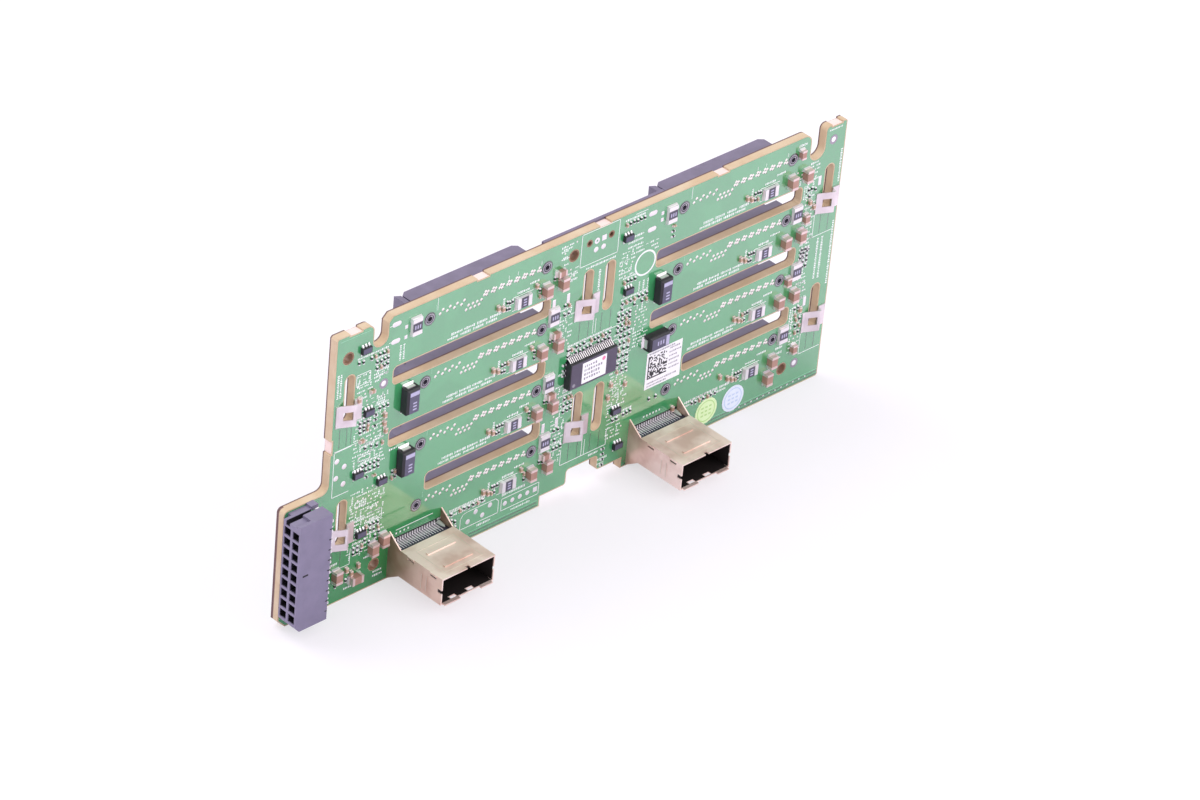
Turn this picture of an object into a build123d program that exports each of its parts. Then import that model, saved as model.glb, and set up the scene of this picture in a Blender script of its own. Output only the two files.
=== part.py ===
"""Backplane board for eight small-form drives, built as a board and the pieces soldered to it.

Everything is first laid out flat, component side up: X runs along the board, Y up the board
and Z out of its component face, with zero at the first drive connector's left peg. The whole
is then stood on its lower edge, component side towards -Y, with the origin under its middle.
"""
import os
from build123d import *

# Small round forms that repeat many times are drawn with this many flat sides, to keep the model light
sides = 12
small_sides = 8
label_sides = 20

# Drive positions, columns of connectors on the far side of the board
rows = 4
columns = 2
row_pitch = 18.0
column_pitch = 85.0
peg_spacing = 38.4

# Board
board_thickness = 2.5
margin_left = 29.7
margin_right = 19.0
margin_top = 5.5
margin_bottom = 18.4
tab_width = 13.7
tab_height = 34.4
tab_inner_radius = 2.0
tab_outer_radius = 1.2
tab_chamfer = 2.4
board_corner_cut = 0.5

# Notches that fit over guides, open at the top edge
left_notch_x = 15.6
left_notch_width = 4.4
left_notch_depth = 7.0
left_notch_flare = 2.0
right_notch_x = 10.1
right_notch_width = 5.0
right_notch_depth = 8.4
right_notch_flare = 2.6
notch_edge_radius = 1.4

# Shallow dips where the board was broken out of its panel
break_pitch = 40.6
break_offset = 0.6
break_width = 3.8
break_depth = 0.5
left_break_height = 30.9

# Stepped recess in the lower edge
recess_width = 28.1
recess_depth = 3.0
recess_inner_width = 10.5
recess_inner_depth = 4.3
recess_radius = 0.9

# Air slots between the drive rows
slot_length = 51.3
slot_height = 4.9
slot_corner = 1.3
slot_land = 2.2
slot_lead_left = 10.7
slot_lead_right = 8.1
slot_short_by = 13.2

# Slots that hang on hooks, and the spring clips over their lower ends
spine_offset = 4.7
hook_slot_width = 3.0
hook_slot_length = 14.0
hook_slot_drop = 6.4
hook_rows_apart = 2
left_hook_inset = 5.0
right_hook_inset = 4.6
spine_hook_spacing = 7.4
clip_sheet = 0.3
clip_width = 8.2
clip_height = 6.1
clip_rise = 1.8
clip_crest = 4.6
clip_foot = 2.4
clip_hem = 0.7
clip_crest_flat = 0.4
clip_window_gap = 0.5
clip_shift = 0.1
clip_window = 2.3
clip_drop = 7.5

# Plain holes: tooling, test and spare post holes
tooling_hole = 3.0
tooling_left_inset = 4.0
tooling_left_drop = 1.2
tooling_before_spine = 9.6
tooling_lower_left = (16.8, 6.3)
tooling_lower_right = (14.3, 7.6)
test_hole = 1.5
test_left = (16.0, 13.0)
test_right = (4.5, 0.9)
test_lower_inset = 9.6
spare_post_hole = 1.5
spare_posts_from_spine = (-4.5, 2.9)
spare_post_rise = 1.6

# Strip on the far face between the two top connectors, level with the top edge
strip_start = 0.8
strip_end_gap = 5.0
strip_height = 4.1
strip_thickness = 0.9

# Drive connector
connector_shoulder = 3.85
connector_width = 5.8
connector_above_peg = 1.2
connector_base_depth = 4.7
shroud_wall = 0.8
shroud_width = 5.1
shroud_depth = 4.0
shroud_end_room = 1.5
shroud_corner_length = 1.3
shroud_corner_depth = 1.0
ear_length = 1.9
ear_lead_in = 0.9
ear_gap = 0.4
blade_slot_width = 1.4
blade_slot_depth = 6.2
blade_key_depth = 1.5
contact_pitch = 1.27
fine_contact_pitch = 0.8
contact_thickness = 0.25
contact_width = 0.7
fine_contact_width = 0.4
power_contacts = 15
signal_contacts = 7
power_contact_gap = 5.3
contact_end_gap = 0.15
contact_setback = 0.3
peg_diameter = 2.4
peg_hole_clearance = 0.3
peg_bore = 1.4
peg_recess = 0.3

# Right-angle power header
header_ways = 9
header_pitch = 3.0
header_length = 10.1
header_height = 7.3
header_end_wall = 2.3
header_overhang = 1.0
header_cavity = 2.25
header_cavity_depth = 6.2
header_first_row = 2.7
header_undercut_length = 2.4
header_undercut_height = 1.2
header_bevel_length = 1.4
header_bevel_rise = 1.7
header_tail_room = 3.0
header_cheek = 1.0
header_bay_length = 4.0
header_bay_depth = 0.8
header_bay_wall = 1.0
header_groove_width = 1.4
header_groove_depth = 1.8
header_ledge_drop = 0.6
header_lug_length = 2.2
header_above_edge = 3.5
pin_size = 0.64
pin_tail_reach = 1.3
pin_hole = 0.76
pin_standout = 0.7
pin_setback = 1.6

# Cable sockets with folded metal shells
socket_middle = 0.4
socket_pitch = 81.2
shell_side_room = 1.9
shell_height = 7.64
shell_depth = 19.6
shell_above_edge = 3.13
shell_sheet = 0.35
cover_start = 4.5
floor_start = 1.3
gusset_top = 3.3
gusset_bottom = 2.9
gusset_overlap = 0.1
mouth_notch = 1.0
mouth_notch_depth = 0.9
side_notch_depth = 1.4
side_notch_rise = 3.8
floor_windows = (4.8, 10.4)
floor_window_length = 2.1
floor_window_width = 1.0
floor_window_setback = 0.8
lip_reach = 0.8
lip_tongues = ((0.8, 5.1), (12.8, 3.8))
shell_slit = 2.3
shell_slit_height = 0.6
shell_slits = (8.2, 16.3)
shell_tab_rise = 0.2
shell_tab_height = 0.5
rib_rise = 0.25
rib_width = 0.8
rib_length = 9.2
rib_places = (9.4, 15.6)
lead_count = 18
lead_pitch = 0.8
lead_width = 0.36
lead_thickness = 0.25
lead_foot = 1.1
lead_offset = 0.55
lead_row_gap = 0.1
insulator_clearance = 0.1
insulator_depth = 4.4
nose_length = 5.2
nose_height = 4.2
nose_side_gap = 1.1
card_slot_height = 1.4
card_slot_depth = 6.5
comb_bar = 0.6
comb_post = 0.35
comb_place = 3.9

# Controller chip
chip_length = 15.9
chip_width = 7.5
chip_height = 2.3
chip_standoff = 0.1
chip_bevel = 0.25
chip_pins = 24
chip_pin_pitch = 0.635
chip_pin_width = 0.28
chip_pin_sheet = 0.2
chip_pin_reach = 1.4
chip_pin_foot = 0.7
chip_x = 1.25
chip_z = 34.95
chip_label_length = 8.2
chip_label_width = 6.0

# Tantalum capacitors
tantalum_length = 7.0
tantalum_width = 4.1
tantalum_height = 2.8
tantalum_bevel = 0.5
tantalum_tab_width = 2.5
tantalum_tab_sheet = 0.2
tantalum_tab_rise = 1.5
tantalum_tab_foot = 1.1
tantalum_before_peg = 5.7
tantalum_drop = 2.05
tantalum_upper_right = (5.9, 3.1)
tantalum_lying_right = (6.4, -0.05)

# Chip fuses, ceramic capacitors and small chips
fuse_length = 4.7
fuse_width = 3.0
fuse_height = 0.9
fuse_from_right_peg = 7.5
fuse_drop = 6.6
fuse_from_left_peg = 4.6
fuses_beside_right_pegs = (
    ((3.5, 2.6), (3.7, 1.0), (4.0, 1.3)),
    ((3.4, 0.8), (5.6, 0.8), (3.4, 0.3)),
)
ceramic_length = 3.6
ceramic_width = 2.1
ceramic_height = 1.9
ceramic_drop = 6.3
ceramic_beside = (5.4, 6.1)
ceramic_last = (-1.1, 11.2)
ceramics_from_corner = ((4.2, 8.4, True), (10.4, 5.2, False), (15.6, 11.8, True), (19.0, 13.2, True))
midget_length = 2.6
midget_width = 1.5
midget_height = 1.3
midget_beside_peg = (4.6, 3.0)
midgets_beside_last_pegs = ((2.8, 0.9), (6.9, -1.7), (2.8, -1.2), (8.0, -5.7))
end_cap_share = 0.2
end_cap_proud = 0.04
small_chip_length = 2.9
small_chip_width = 1.7
small_chip_height = 1.0
small_chip_standoff = 0.05
small_chip_lead = 0.55
small_chip_lead_pitch = 0.95
small_chip_lead_width = 0.4
small_chip_lead_sheet = 0.2
small_chips_from_left = ((9.2, 0, -0.6), (11.4, 1, -1.2), (9.2, 2, -0.4), (11.4, 3, -0.6), (17.2, 2, -5.4))
small_chips_from_spine = ((8.6, 0, -1.4), (10.4, 1, 0.4), (10.0, 3, 0.9))
small_chip_lower = (11.9, 8.0)

# Labels
label_thickness = 0.12
serial_label_width = 12.4
serial_label_height = 11.0
serial_label_right = 4.4
serial_label_drop = 4.2
dot_label_diameter = 7.8
dot_label_rise = 5.4
dot_label_places = (16.0, 25.7)

# Places that follow from the sizes above
left_edge = -margin_left
right_edge = (columns - 1) * column_pitch + peg_spacing + margin_right
top_edge = margin_top
bottom_edge = -(rows - 1) * row_pitch - margin_bottom
tab_left = left_edge - tab_width
tab_top = bottom_edge + tab_height
spine_x = (peg_spacing + column_pitch) / 2 - spine_offset
far_face = -board_thickness
connector_top = connector_above_peg
connector_bottom = connector_above_peg - connector_width
contact_run = (signal_contacts + power_contacts - 2) * contact_pitch + power_contact_gap + contact_width
blade_slot_length = blade_slot_width + contact_run + 2 * contact_end_gap
shroud_length = blade_slot_length + 2 * shroud_wall + 2 * shroud_end_room
connector_length = shroud_length + 2 * connector_shoulder
shroud_face = far_face - connector_base_depth - shroud_depth
socket_top = bottom_edge + shell_above_edge + shell_height
socket_bottom = socket_top - shell_height
shell_width = (lead_count - 1) * lead_pitch + 2 * shell_side_room
header_mouth = tab_left - header_overhang
header_rear = header_mouth + header_length
header_bottom = bottom_edge + header_above_edge
header_span = (header_ways - 1) * header_pitch + 2 * (header_end_wall + header_cavity / 2)
header_top = header_bottom + header_span
header_last_way = header_bottom + header_end_wall + header_cavity / 2
hook_slot_xs = (
    left_edge + left_hook_inset,
    spine_x - spine_hook_spacing / 2,
    spine_x + spine_hook_spacing / 2,
    right_edge - right_hook_inset,
)
clip_slots = (0, 1, 3)


def column_x(column):
    """X of a column's left peg."""
    return column * column_pitch


def row_z(row):
    """Height of a row's pegs, counted down from the first."""
    return -row * row_pitch


def slot_top(row):
    """Upper edge of the air slot under a row, set above the next row's connector."""
    return row_z(row + 1) + connector_top + slot_land + slot_height


def patch(x0, x1, z0, z1):
    """Flat rectangle given by its edges."""
    return Pos((x0 + x1) / 2, (z0 + z1) / 2) * Rectangle(x1 - x0, z1 - z0)


def block(x0, x1, z0, z1, w0, w1):
    """Box given by its faces: along the board, up the board and out of its face."""
    return Pos((x0 + x1) / 2, (z0 + z1) / 2, (w0 + w1) / 2) * Box(x1 - x0, z1 - z0, w1 - w0)


def round_form(radius, count=sides):
    """Flat-sided outline of a small round hole or post."""
    return RegularPolygon(radius, count, rotation=180 / count)


def eased_slot(length, height, corner):
    """Slot or rectangle whose corners are quarters of a small round form."""
    across = length / 2 - corner
    up = height / 2 - corner
    corners = [Pos(x, z) * round_form(corner) for x in (-across, across) for z in (-up, up)]
    return make_hull(Sketch(children=corners).edges())


def profile_along_x(points, x0, x1):
    """Prism along X from an outline of (z, w) points."""
    outline = Polyline(*[(x0, z, w) for z, w in points], close=True)
    return extrude(make_face(outline), x1 - x0, dir=(1, 0, 0))


def profile_along_z(points, z0, z1):
    """Prism up the board from an outline of (x, w) points."""
    outline = Polyline(*[(x, z0, w) for x, w in points], close=True)
    return extrude(make_face(outline), z1 - z0, dir=(0, 1, 0))


def round_corner(sketch, x, z, radius):
    """Rounds the corner of a flat outline nearest to a point."""
    return fillet(sketch.vertices().sort_by_distance((x, z, 0))[0], radius)


def cut_corner(sketch, x, z, length):
    """Cuts the corner of a flat outline nearest to a point."""
    return chamfer(sketch.vertices().sort_by_distance((x, z, 0))[0], length)


def open_notch(x, width, depth):
    """Round-bottomed notch that reaches down from the top edge."""
    floor = top_edge - depth
    centre = floor + width / 2
    straight = patch(x - width / 2, x + width / 2, centre, top_edge + 1)
    return straight + Pos(x, centre) * Circle(width / 2)


def board_outline():
    """Outline of the board with its header tab, guide notches and stepped lower recess."""
    shape = patch(left_edge, right_edge, bottom_edge, top_edge)
    shape += patch(tab_left, left_edge + 1, bottom_edge, tab_top)
    shape = round_corner(shape, left_edge, tab_top, tab_inner_radius)
    shape = round_corner(shape, tab_left, tab_top, tab_outer_radius)
    shape = cut_corner(shape, tab_left, bottom_edge, tab_chamfer)
    shape = cut_corner(shape, left_edge, top_edge, board_corner_cut)
    shape = cut_corner(shape, right_edge, top_edge, board_corner_cut)
    shape = cut_corner(shape, right_edge, bottom_edge, board_corner_cut)

    half = recess_width / 2
    inner = recess_inner_width / 2
    step = bottom_edge + recess_depth
    shape -= patch(spine_x - half, spine_x + half, bottom_edge - 1, step)
    shape -= patch(spine_x - inner, spine_x + inner, step - 1, step + recess_inner_depth)
    for side in (-1, 1):
        shape = round_corner(shape, spine_x + side * inner, step, recess_radius)
        shape = round_corner(shape, spine_x + side * inner, step + recess_inner_depth, recess_radius)

    left_x = -left_notch_x
    right_x = right_edge - right_notch_x
    shape -= open_notch(left_x, left_notch_width, left_notch_depth)
    shape -= open_notch(right_x, right_notch_width, right_notch_depth)
    shape = round_corner(shape, left_x - left_notch_width / 2, top_edge, left_notch_flare)
    shape = cut_corner(shape, left_x + left_notch_width / 2, top_edge, notch_edge_radius)
    shape = round_corner(shape, right_x - right_notch_width / 2, top_edge, right_notch_flare)
    shape = round_corner(shape, right_x + right_notch_width / 2, top_edge, notch_edge_radius)

    for step_number in range(-2, 3):
        x = spine_x + break_offset + step_number * break_pitch
        if left_edge + break_width < x < right_edge - break_width / 2 - board_corner_cut:
            shape -= patch(x - break_width / 2, x + break_width / 2, top_edge - break_depth, top_edge + 1)
    z = top_edge - left_break_height
    shape -= patch(left_edge - 1, left_edge + break_depth, z - break_width / 2, z + break_width / 2)
    return shape


def air_slots():
    """Long slots under the first three rows of each column; the last pair starts further in."""
    cuts = []
    for column, lead in enumerate((slot_lead_left, slot_lead_right)):
        for row in range(rows - 1):
            shorter = slot_short_by if row == rows - 2 else 0
            length = slot_length - shorter
            start = column_x(column) - lead + shorter
            place = Pos(start + length / 2, slot_top(row) - slot_height / 2)
            cuts.append(place * eased_slot(length, slot_height, slot_corner))
    return cuts


def hook_slot_top(level):
    """Upper end of a hook slot; the second set hangs two drive rows lower."""
    return -hook_slot_drop - level * hook_rows_apart * row_pitch


def hook_slots():
    """Upright slots that drop over the hooks of a drive cage; the pair without clips locates the board."""
    cuts = []
    for number, x in enumerate(hook_slot_xs):
        if number in clip_slots:
            form = eased_slot(hook_slot_width, hook_slot_length, hook_slot_width / 2)
        else:
            form = SlotOverall(hook_slot_length, hook_slot_width, rotation=90)
        for level in (0, 1):
            cuts.append(Pos(x, hook_slot_top(level) - hook_slot_length / 2) * form)
    return cuts


def header_way_z(way):
    """Height of a row of header pins, counted up from the lowest."""
    return header_last_way + way * header_pitch


def round_holes():
    """Peg holes, solder-filled header pin holes, and the plain holes seen in the board."""
    cuts = []
    for column in range(columns):
        for row in range(rows):
            for peg in (0, peg_spacing):
                place = Pos(column_x(column) + peg, row_z(row))
                cuts.append(place * round_form(peg_diameter / 2 + peg_hole_clearance))
    for way in range(header_ways):
        for tail in range(2):
            cuts.append(Pos(pin_tail_x(tail), header_way_z(way)) * Rectangle(pin_hole, pin_hole))
    tooling = (
        (left_edge + tooling_left_inset, -tooling_left_drop),
        (spine_x - tooling_before_spine, 0),
        (left_edge + tooling_lower_left[0], bottom_edge + tooling_lower_left[1]),
        (right_edge - tooling_lower_right[0], bottom_edge + tooling_lower_right[1]),
    )
    test_points = (
        (left_edge + test_left[0], -test_left[1]),
        (right_edge - test_right[0], test_right[1]),
        (right_edge - test_lower_inset, bottom_edge + tooling_lower_right[1]),
    )
    for x, z in tooling:
        cuts.append(Pos(x, z) * round_form(tooling_hole / 2))
    for x, z in test_points:
        cuts.append(Pos(x, z) * round_form(test_hole / 2, small_sides))
    for x in spare_posts_from_spine:
        cuts.append(Pos(spine_x + x, spare_post_rise) * round_form(spare_post_hole / 2, small_sides))
    return cuts


def circuit_board():
    """The bare board with every opening cut through it."""
    shape = board_outline() - air_slots() - hook_slots() - round_holes()
    return extrude(shape, -board_thickness)


def rear_strip():
    """Dark strip along the top edge of the far face, between the two upper drive connectors."""
    start = peg_spacing + strip_start
    end = column_x(columns - 1) - strip_end_gap
    return block(start, end, top_edge - strip_height, top_edge, far_face - strip_thickness, far_face)


def drive_connector(column, row):
    """Receptacle housing on the far face: base, mating shroud, guide ear, key slot and pegs."""
    x = column_x(column)
    z = row_z(row)
    middle = x + peg_spacing / 2
    half = connector_length / 2
    low = z + connector_bottom
    high = z + connector_top
    base_face = far_face - connector_base_depth
    body = block(middle - half, middle + half, low, high, base_face, far_face)

    root = shroud_length / 2
    tip = root - shroud_corner_length
    shoulder = shroud_face + shroud_corner_depth
    shroud = [
        (middle - root, base_face),
        (middle + root, base_face),
        (middle + root, shoulder),
        (middle + tip, shroud_face),
        (middle - tip, shroud_face),
        (middle - root, shoulder),
    ]
    body += profile_along_z(shroud, high - shroud_width, high)

    ear_x = middle - root - ear_length
    ear = [
        (ear_x, base_face),
        (ear_x, shroud_face),
        (ear_x + ear_length - ear_gap, shroud_face + ear_lead_in),
        (ear_x + ear_length - ear_gap, base_face),
    ]
    body += profile_along_z(ear, high - shroud_width, high)

    slot_z = high - shroud_width / 2
    slot_half = blade_slot_length / 2
    slot_low = slot_z - blade_slot_width / 2
    slot_high = slot_z + blade_slot_width / 2
    slot_bottom = shroud_face + blade_slot_depth
    body -= block(middle - slot_half, middle + slot_half, slot_low, slot_high, shroud_face - 1, slot_bottom)
    key_x = middle - slot_half
    body -= block(key_x, key_x + blade_slot_width, slot_low - blade_key_depth, slot_high,
                  shroud_face - 1, slot_bottom)

    for peg_x in (x, x + peg_spacing):
        seat = Pos(peg_x, z, far_face)
        peg = extrude(seat * round_form(peg_diameter / 2), board_thickness - peg_recess)
        bore = extrude(seat * round_form(peg_bore / 2, small_sides), board_thickness)
        body += peg - bore
    return body


def drive_contacts(column, row):
    """Contacts on the walls of one connector's key slot: power, signal and the finer second lane."""
    middle = column_x(column) + peg_spacing / 2
    slot_z = row_z(row) + connector_top - shroud_width / 2
    lower_wall = slot_z - blade_slot_width / 2
    upper_wall = slot_z + blade_slot_width / 2 - contact_thickness
    near = shroud_face + contact_setback
    deep = shroud_face + blade_slot_depth
    first = middle - blade_slot_length / 2 + blade_slot_width + contact_end_gap + contact_width / 2
    power_start = first + (signal_contacts - 1) * contact_pitch + power_contact_gap
    second_start = power_start - power_contact_gap / 2 - (signal_contacts - 1) / 2 * fine_contact_pitch
    lanes = (
        (first, signal_contacts, contact_pitch, contact_width, lower_wall),
        (power_start, power_contacts, contact_pitch, contact_width, lower_wall),
        (second_start, signal_contacts, fine_contact_pitch, fine_contact_width, upper_wall),
    )
    strips = []
    for start, count, pitch, width, wall in lanes:
        for number in range(count):
            x = start + number * pitch
            strips.append(block(x - width / 2, x + width / 2, wall, wall + contact_thickness, near, deep))
    return Compound(children=strips)


def pin_tail_x(tail):
    """Where a row of header tails enters the board; the outer row bends down furthest out."""
    return header_rear + pin_tail_reach - (1 - tail) * header_pitch


def header_row_w(tail):
    """Height of a row of header pins above the board."""
    return header_first_row + tail * header_pitch


def power_header_housing():
    """Moulded right-angle housing with two rows of square ways, a latch groove and room for its tails."""
    side = Polyline(
        (header_mouth, header_top),
        (header_rear, header_top),
        (header_rear, header_bottom),
        (header_mouth + header_bevel_length, header_bottom),
        (header_mouth, header_bottom + header_bevel_rise),
        close=True,
    )
    body = extrude(make_face(side), header_height, dir=(0, 0, 1))
    body -= block(header_mouth - 1, header_mouth + header_undercut_length, header_bottom - 1, header_top + 1,
                  -1, header_undercut_height)
    body -= block(header_rear - header_tail_room, header_rear + 1, header_bottom + header_cheek,
                  header_top - header_cheek, -1, (header_row_w(0) + header_row_w(1)) / 2)
    half = header_cavity / 2
    pin = pin_size / 2
    for way in range(header_ways):
        z = header_way_z(way)
        for tail in range(2):
            w = header_row_w(tail)
            body -= block(header_mouth - 1, header_mouth + header_cavity_depth,
                          z - half, z + half, w - half, w + half)
            body -= block(header_mouth, header_rear + 1, z - pin, z + pin, w - pin, w + pin)
    groove_w = header_first_row - header_groove_width / 2
    body -= block(header_mouth - 1, header_rear + 1, header_top - header_groove_depth, header_top + 1,
                  groove_w, groove_w + header_groove_width)
    body -= block(header_mouth - 1, header_mouth + header_bay_length, header_top - header_bay_depth,
                  header_top + 1, groove_w, header_height - header_bay_wall)
    body -= block(header_mouth - 1, header_rear - header_lug_length, header_top - header_ledge_drop,
                  header_top + 1, -1, groove_w + header_groove_width / 2)
    return body


def power_header_pins():
    """Square pins, straight through the housing and bent down through the board."""
    half = pin_size / 2
    start = header_mouth + pin_setback
    low = far_face - pin_standout
    pins = []
    for way in range(header_ways):
        z = header_way_z(way)
        for tail in range(2):
            w = header_row_w(tail)
            x = pin_tail_x(tail)
            outline = [
                (start, w - half),
                (x - half, w - half),
                (x - half, low),
                (x + half, low),
                (x + half, w + half),
                (start, w + half),
            ]
            pins.append(profile_along_z(outline, z - half, z + half))
    return Compound(children=pins)


def shell_floor_details(x0):
    """Tongues at the front edge of a shell's floor, and the windows cut behind it."""
    floor = socket_bottom + shell_sheet
    tongues = [
        block(x0 + start, x0 + start + length, socket_bottom, floor, shell_depth - shell_sheet,
              shell_depth + lip_reach)
        for start, length in lip_tongues
    ]
    high = shell_depth - floor_window_setback + floor_window_width / 2
    half = floor_window_length / 2
    windows = [
        block(x0 + across - half, x0 + across + half, socket_bottom - 1, floor + shell_sheet,
              high - floor_window_width, high)
        for across in floor_windows
    ]
    return tongues, windows


def shell_side(x):
    """One side sheet's two gussets, which spread towards the board."""
    high = socket_top - gusset_overlap
    low = socket_bottom + gusset_overlap
    upper = [(high, 0), (socket_top + gusset_top, 0), (high, cover_start)]
    lower = [(low, 0), (socket_bottom - gusset_bottom, 0), (low, cover_start)]
    return profile_along_x(upper, x, x + shell_sheet) + profile_along_x(lower, x, x + shell_sheet)


def socket_shell(x0):
    """Folded sheet shell, open at the mouth and over the soldered leads."""
    x1 = x0 + shell_width
    t = shell_sheet
    middle = (x0 + x1) / 2
    body = block(x0, x1, socket_bottom, socket_top, 0, shell_depth)
    body -= block(x0 + t, x1 - t, socket_bottom + t, socket_top - t, -1, shell_depth + 1)
    body -= block(x0 + t, x1 - t, socket_top - 2 * t, socket_top + 1, -1, cover_start)
    body -= block(x0 + t, x1 - t, socket_bottom - 1, socket_bottom + 2 * t, -1, floor_start)
    body += shell_side(x0)
    body += shell_side(x1 - t)

    notch = mouth_notch / 2
    rim = shell_depth - mouth_notch_depth
    side_rim = shell_depth - side_notch_depth
    body -= block(middle - notch, middle + notch, socket_top - 2 * t, socket_top + 1, rim, shell_depth + 1)
    side_z = socket_bottom + side_notch_rise
    body -= block(x0 - 1, x0 + 2 * t, side_z - notch, side_z + notch, side_rim, shell_depth + 1)
    body -= block(x1 - 2 * t, x1 + 1, side_z - notch, side_z + notch, side_rim, shell_depth + 1)
    tongues, windows = shell_floor_details(x0)
    body = body + tongues - windows

    for w in shell_slits:
        slit_top = socket_top - shell_tab_height
        body -= block(x0 - 1, x0 + t, slit_top - shell_slit_height, slit_top,
                      w - shell_slit / 2, w + shell_slit / 2)
        body += block(x0 - shell_tab_rise, x0 + t, slit_top, socket_top,
                      w - shell_slit / 2, w + shell_slit / 2)

    for w in rib_places:
        body += block(middle - rib_length / 2, middle + rib_length / 2, socket_top - t,
                      socket_top + rib_rise, w - rib_width / 2, w + rib_width / 2)
    return body


def socket_lead_z():
    """Outer faces of the upper and lower lead rows."""
    inset = shell_sheet + insulator_clearance + lead_row_gap
    return socket_bottom + inset, socket_top - inset


def socket_insulator(x0):
    """Dark moulding at the back of a socket, with its card slot and the bar over the leads."""
    x1 = x0 + shell_width
    gap = shell_sheet + insulator_clearance
    low, high = socket_lead_z()
    floor = low + lead_thickness
    roof = high - lead_thickness
    body = block(x0 + gap, x1 - gap, floor, roof, 0, insulator_depth)
    middle_z = (floor + roof) / 2
    nose = nose_height / 2
    card = card_slot_height / 2
    tip = insulator_depth + nose_length
    inset = gap + nose_side_gap
    body += block(x0 + inset, x1 - inset, middle_z - nose, middle_z + nose, insulator_depth, tip)
    body -= block(x0 + inset + shroud_wall, x1 - inset - shroud_wall, middle_z - card, middle_z + card,
                  tip - card_slot_depth, tip + 1)

    first = lead_x(x0, 0) - lead_pitch / 2
    last = lead_x(x0, lead_count - 1) + lead_pitch / 2
    near = comb_place - comb_bar / 2
    far = comb_place + comb_bar / 2
    body += block(first - comb_post, last + comb_post, high, high + insulator_clearance + lead_row_gap,
                  near, far)
    for post_x in (first - comb_post, last):
        body += block(post_x, post_x + comb_post, roof, high + insulator_clearance, near, far)
    return body


def lead_x(x0, number):
    """Middle of one soldered lead of a socket."""
    middle = x0 + shell_width / 2 - lead_offset
    return middle + (number - (lead_count - 1) / 2) * lead_pitch


def socket_leads(x0):
    """Two rows of leads that run along the moulding and end in feet on the board."""
    low, high = socket_lead_z()
    t = lead_thickness
    leads = []
    for number in range(lead_count):
        x = lead_x(x0, number)
        upper = [
            (high - t, 0),
            (high - t + lead_foot, 0),
            (high - t + lead_foot, t),
            (high, t),
            (high, insulator_depth),
            (high - t, insulator_depth),
        ]
        lower = [(low + high - z, w) for z, w in upper]
        for outline in (upper, lower):
            leads.append(profile_along_x(outline, x - lead_width / 2, x + lead_width / 2))
    return Compound(children=leads)


def hook_clip(slot, level):
    """Folded spring clip that ramps over the lower end of a hook slot."""
    x = hook_slot_xs[slot] - clip_width / 2 + clip_shift
    z = hook_slot_top(level) - clip_drop
    t = clip_sheet
    crest = x + clip_crest
    wall = x + clip_width - clip_foot
    path = [
        (x, 0),
        (x + clip_hem, 0),
        (crest, clip_rise),
        (crest + clip_crest_flat, clip_rise),
        (wall, 0),
        (x + clip_width, 0),
    ]
    outline = path + [(px, w + t) for px, w in reversed(path)]
    body = profile_along_z(outline, z - clip_height, z)
    window_x = crest - clip_window_gap - clip_window
    window_z = z - clip_height / 2
    return body - block(window_x, window_x + clip_window, window_z - clip_window / 2,
                        window_z + clip_window / 2, -1, clip_rise + 1)


def controller_place():
    """Middle of the controller chip."""
    return spine_x - chip_x, -chip_z


def controller_body():
    """Moulded body with bevelled upper edges."""
    x, z = controller_place()
    body = block(x - chip_length / 2, x + chip_length / 2, z - chip_width / 2, z + chip_width / 2,
                 chip_standoff, chip_height)
    return chamfer(body.faces().sort_by(Axis.Z)[-1].edges(), chip_bevel)


def controller_pins():
    """Gull-wing pins down both long sides."""
    x, z = controller_place()
    t = chip_pin_sheet
    root = chip_width / 2
    knee = root + chip_pin_reach - chip_pin_foot
    level = chip_height / 2
    outline = [
        (root, level),
        (knee, 0),
        (knee + chip_pin_foot, 0),
        (knee + chip_pin_foot, t),
        (knee + t, t),
        (root, level + t),
    ]
    pins = []
    for number in range(chip_pins):
        px = x + (number - (chip_pins - 1) / 2) * chip_pin_pitch
        for side in (-1, 1):
            points = [(z + side * out, w) for out, w in outline]
            pins.append(profile_along_x(points, px - chip_pin_width / 2, px + chip_pin_width / 2))
    return Compound(children=pins)


def controller_label():
    """Paper label on the controller chip."""
    x, z = controller_place()
    return block(x - chip_label_length / 2, x + chip_label_length / 2, z - chip_label_width / 2,
                 z + chip_label_width / 2, chip_height, chip_height + label_thickness)


def tantalum_places():
    """Middles of the tantalum capacitors and whether each stands upright on the board."""
    second = column_x(columns - 1)
    return (
        (-tantalum_before_peg, row_z(1) - tantalum_drop, True),
        (-tantalum_before_peg, row_z(2) - tantalum_drop, True),
        (second - tantalum_upper_right[0], row_z(1) - tantalum_upper_right[1], True),
        (second - tantalum_lying_right[0], row_z(2) - tantalum_lying_right[1], False),
    )


def tantalum_body():
    """Moulded capacitor body, bevelled along the top, lying along X."""
    body = block(-tantalum_length / 2, tantalum_length / 2, -tantalum_width / 2, tantalum_width / 2,
                 tantalum_tab_sheet, tantalum_height)
    return chamfer(body.faces().sort_by(Axis.Z)[-1].edges(), tantalum_bevel)


def tantalum_tabs():
    """Folded tabs that come out of both ends and tuck under the body."""
    t = tantalum_tab_sheet
    end = tantalum_length / 2
    outline = [
        (end, t),
        (end - tantalum_tab_foot, t),
        (end - tantalum_tab_foot, 0),
        (end + t, 0),
        (end + t, tantalum_tab_rise),
        (end, tantalum_tab_rise),
    ]
    half = tantalum_tab_width / 2
    right = profile_along_z(outline, -half, half)
    left = profile_along_z([(-x, w) for x, w in outline], -half, half)
    return right, left


def placed(shape, x, z, upright):
    """Puts a part that was made lying along X at its place on the board."""
    return Pos(x, z) * Rot(0, 0, 90 if upright else 0) * shape


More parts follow.
